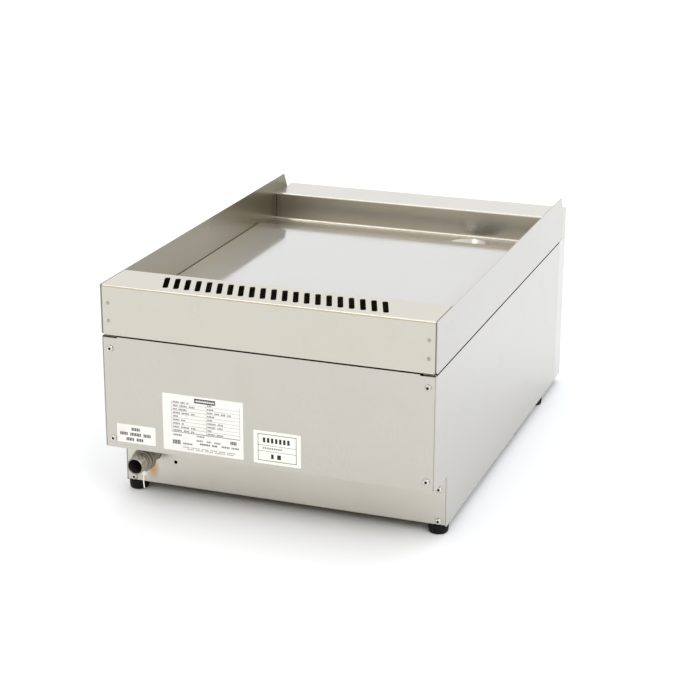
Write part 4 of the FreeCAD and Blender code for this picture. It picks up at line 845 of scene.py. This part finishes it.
def make_rating_plate(rng):
    """A boxed block at the top, a ruled table of two columns, and loose lines below it."""
    bold = frame_lines(0.40, 0.66, 0.885, 0.965, 0.012, 1.4)
    bold += letters((0.41, 0.65, 0.93, 0.955), 12) + letters((0.41, 0.65, 0.895, 0.915), 9)
    grey = []
    table_left, table_right, table_low, table_high, rows = 0.11, 0.96, 0.34, 0.90, 9
    column, thin, rule = 0.545, 0.003, 0.004
    pitch = (table_high - table_low) / rows
    for row in range(rows):
        base = table_high - pitch * (row + 1)
        grey.append((table_left, table_right, base, base + rule))
        for left, reach in ((table_left + 0.02, rng.uniform(0.08, 0.32)), (0.56, rng.uniform(0.05, 0.30))):
            line = words(rng, left, left + reach, base + 0.012, base + 0.04, (0.05, 0.12), 0.02)
            grey += printed(line, 0.018, 0.35)
    bold.append((table_left, table_right, table_low - 0.006, table_low + 0.002))
    for left in (table_left, column, table_right - thin):
        grey.append((left, left + thin, table_low, table_high))
    for left, right, bottom, tall, ink in (
        (0.13, 0.25, 0.27, 0.03, grey), (0.42, 0.52, 0.29, 0.025, grey), (0.12, 0.22, 0.12, 0.075, bold),
        (0.42, 0.50, 0.21, 0.03, grey), (0.55, 0.60, 0.21, 0.03, grey), (0.64, 0.72, 0.21, 0.03, grey),
        (0.84, 0.92, 0.235, 0.06, bold), (0.25, 0.40, 0.13, 0.03, grey), (0.46, 0.68, 0.155, 0.03, bold),
        (0.73, 0.95, 0.16, 0.03, grey), (0.25, 0.90, 0.075, 0.014, grey), (0.30, 0.88, 0.045, 0.014, grey),
    ):
        ink += printed(words(rng, left, right, bottom, bottom + tall, (0.08, 0.14), 0.02), 0.02, 0.3)
    make_label("rating_plate", "rating_plate_film", "paper", [bold, grey])


def make_inspection_label():
    """A ruled box of three rows."""
    line = 0.012
    bold = frame_lines(0.09, 0.91, 0.09, 0.91, line, 1.44)
    bold += [(0.09, 0.91, 0.56, 0.56 + line), (0.09, 0.91, 0.38, 0.38 + line)]
    bold += letters((0.20, 0.80, 0.65, 0.80), 7, 0.4)
    bold += letters((0.37, 0.44, 0.17, 0.31), 1, 0.2) + letters((0.50, 0.60, 0.17, 0.31), 1, 0.2)
    grey = letters((0.20, 0.62, 0.45, 0.51), 9, 0.45)
    make_label("inspection_label", "inspection_label_film", "pale_paper", [bold, grey])


def make_labels():
    """The three labels; one run of random draws serves the first two."""
    rng = random.Random(7)
    make_gas_label(rng)
    make_rating_plate(rng)
    make_inspection_label()


# ---------------------------------------------------------------- controls
def make_knob():
    """Skirted knob with a fluted grip, a raised pointer bar and a white line along it."""
    centre = centre_at("control_knob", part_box("control_knob")[1].y)
    mesh = bmesh.new()
    steps, flutes, flute_deep, face_tall = 144, 24, 0.55, 20.9
    rows = [(24.2, 0), (25, 0.7), (25, 3.6), *arc((23.6, 3.6), 1.4, 0, 90, 4), (22.4, 5.3), (21.9, 6.4),
            (20.4, 19.2), *arc((18.9, 19.2), 1.5, 0, 90, 5), (12, face_tall)]
    rings = []
    for radius, height in rows:
        radii = []
        for i in range(steps):
            wave = 0.5 + 0.5 * math.cos(flutes * 2 * math.pi * i / steps)
            flute = flute_deep * wave ** 2 if 6 < height < 20 else 0
            radii.append((radius - flute) * MM)
        rings.append(ring_round_y(mesh, centre, radii, height * MM))
    rings.append([mesh.verts.new(centre - Vector((0, face_tall * MM, 0)))])
    for first, second in zip(rings, rings[1:]):
        join(mesh, first, second)
    mesh.faces.new(rings[0])
    bar = []
    for half_wide, half_long, height in ((3.5, 18.6, 20.5), (3.4, 18.4, 24.6), (2.9, 17.8, 25.7)):
        ring = []
        for end in (1, -1):
            for k in range(9):
                angle = math.radians(-90 + 180 * k / 8) + (0 if end > 0 else math.pi)
                across = half_wide * math.sin(angle)
                along = end * (half_long - half_wide) + half_wide * math.cos(angle)
                ring.append(mesh.verts.new(centre + Vector((across, -height, along)) * MM))
        bar.append(ring)
    for first, second in zip(bar, bar[1:]):
        join(mesh, first, second)
    mesh.faces.new(bar[-1])
    mesh.faces.new(bar[0])
    add_block(mesh, centre + Vector((-0.7, -25.9, 2)) * MM, centre + Vector((0.7, -25.6, 16.5)) * MM, 1)
    data = finished(mesh, "knob_moulding", sharp=40)
    add_piece("knob_moulding", data, ["knob", "mark"], "control_knob")


def make_bezel():
    """Satin ring behind the knob: a dot at off, and a wedge of strokes that grows with the flame."""
    centre = centre_at("knob_bezel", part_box("knob_bezel")[1].y)
    ink_low, ink_high = 1.35, 1.46
    mesh = bmesh.new()
    profile = [(7, 0), (31, 0), (31, 0.5), (30.3, 1.2), (29.6, 1.4), (7, 1.4)]
    add_turning(mesh, in_mm(profile), centre, "-Y", 96, closed=True)
    dot = [(0, ink_low), (1.1, ink_low), (1.1, ink_high), (0, ink_high)]
    add_turning(mesh, in_mm(dot), centre + Vector((0, 0, 27.6 * MM)), "-Y", 24, material=1)
    strokes, first_angle, sweep, inner = 13, 55, 145, 26.4
    for k in range(strokes):
        angle = math.radians(first_angle - sweep * k / (strokes - 1))
        way = Vector((math.cos(angle), 0, math.sin(angle)))
        across = Vector((-way.z, 0, way.x))
        outer, half = 27.0 + 2.2 * k / strokes, 0.25 + 0.35 * k / strokes
        ends = []
        for y in (ink_low, ink_high):
            ends.append([mesh.verts.new(centre + (way * r + across * s * half - Vector((0, y, 0))) * MM)
                         for r, s in ((inner, -1), (outer, -1), (outer, 1), (inner, 1))])
            mesh.faces.new(ends[-1]).material_index = 1
        join(mesh, ends[0], ends[1], material=1)
    data = finished(mesh, "dial_ring", sharp=40)
    add_piece("dial_ring", data, ["bezel", "print"], "knob_bezel")


def make_igniter_body():
    """Igniter housing with an eased flange, and a narrower collar behind the panel."""
    low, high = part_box("igniter_body")
    flange = (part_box("front_panel")[0].y - low.y) / MM
    back = (high.y - low.y) / MM
    bore, bore_end = 6.05, 20
    profile = [(bore, bore_end), (bore, 0.5), (6.6, 0), (9.4, 0), *arc((10, 1), 1, -80, 0, 4), (11, flange),
               (8, flange), (8, back - 8), (3, back - 8), (3, back), (0.01, back), (0.01, bore_end)]
    mesh = bmesh.new()
    add_turning(mesh, in_mm(profile), centre_at("igniter_body", low.y), "+Y", 72, closed=True)
    data = finished(mesh, "igniter_housing", sharp=40)
    add_piece("igniter_housing", data, ["igniter"], "igniter_body")


def make_igniter_button():
    """Domed red button."""
    low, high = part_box("igniter_button")
    radius, long = (high.x - low.x) / 2 / MM, (high.y - low.y) / MM
    profile = [(0, 0.15), (3, 0.1), (4.2, 0.02), *arc((radius - 1.1, 1.1), 1.1, -80, 0, 5), (radius, long),
               (0, long)]
    mesh = bmesh.new()
    add_turning(mesh, in_mm(profile), centre_at("igniter_button", low.y), "+Y", 72)
    data = finished(mesh, "igniter_cap", sharp=40)
    add_piece("igniter_cap", data, ["button"], "igniter_button")


# ---------------------------------------------------------------- make it all
make_camera()
make_floor()
make_world()
make_lights()
make_looks()
dress_nodes()
make_inlet_pipe()
make_lock_collar()
make_cable_tie()
make_panel_screws()
make_feet()
make_labels()
make_knob()
make_bezel()
make_igniter_body()
make_igniter_button()
bpy.context.scene.view_settings.view_transform = "Standard"
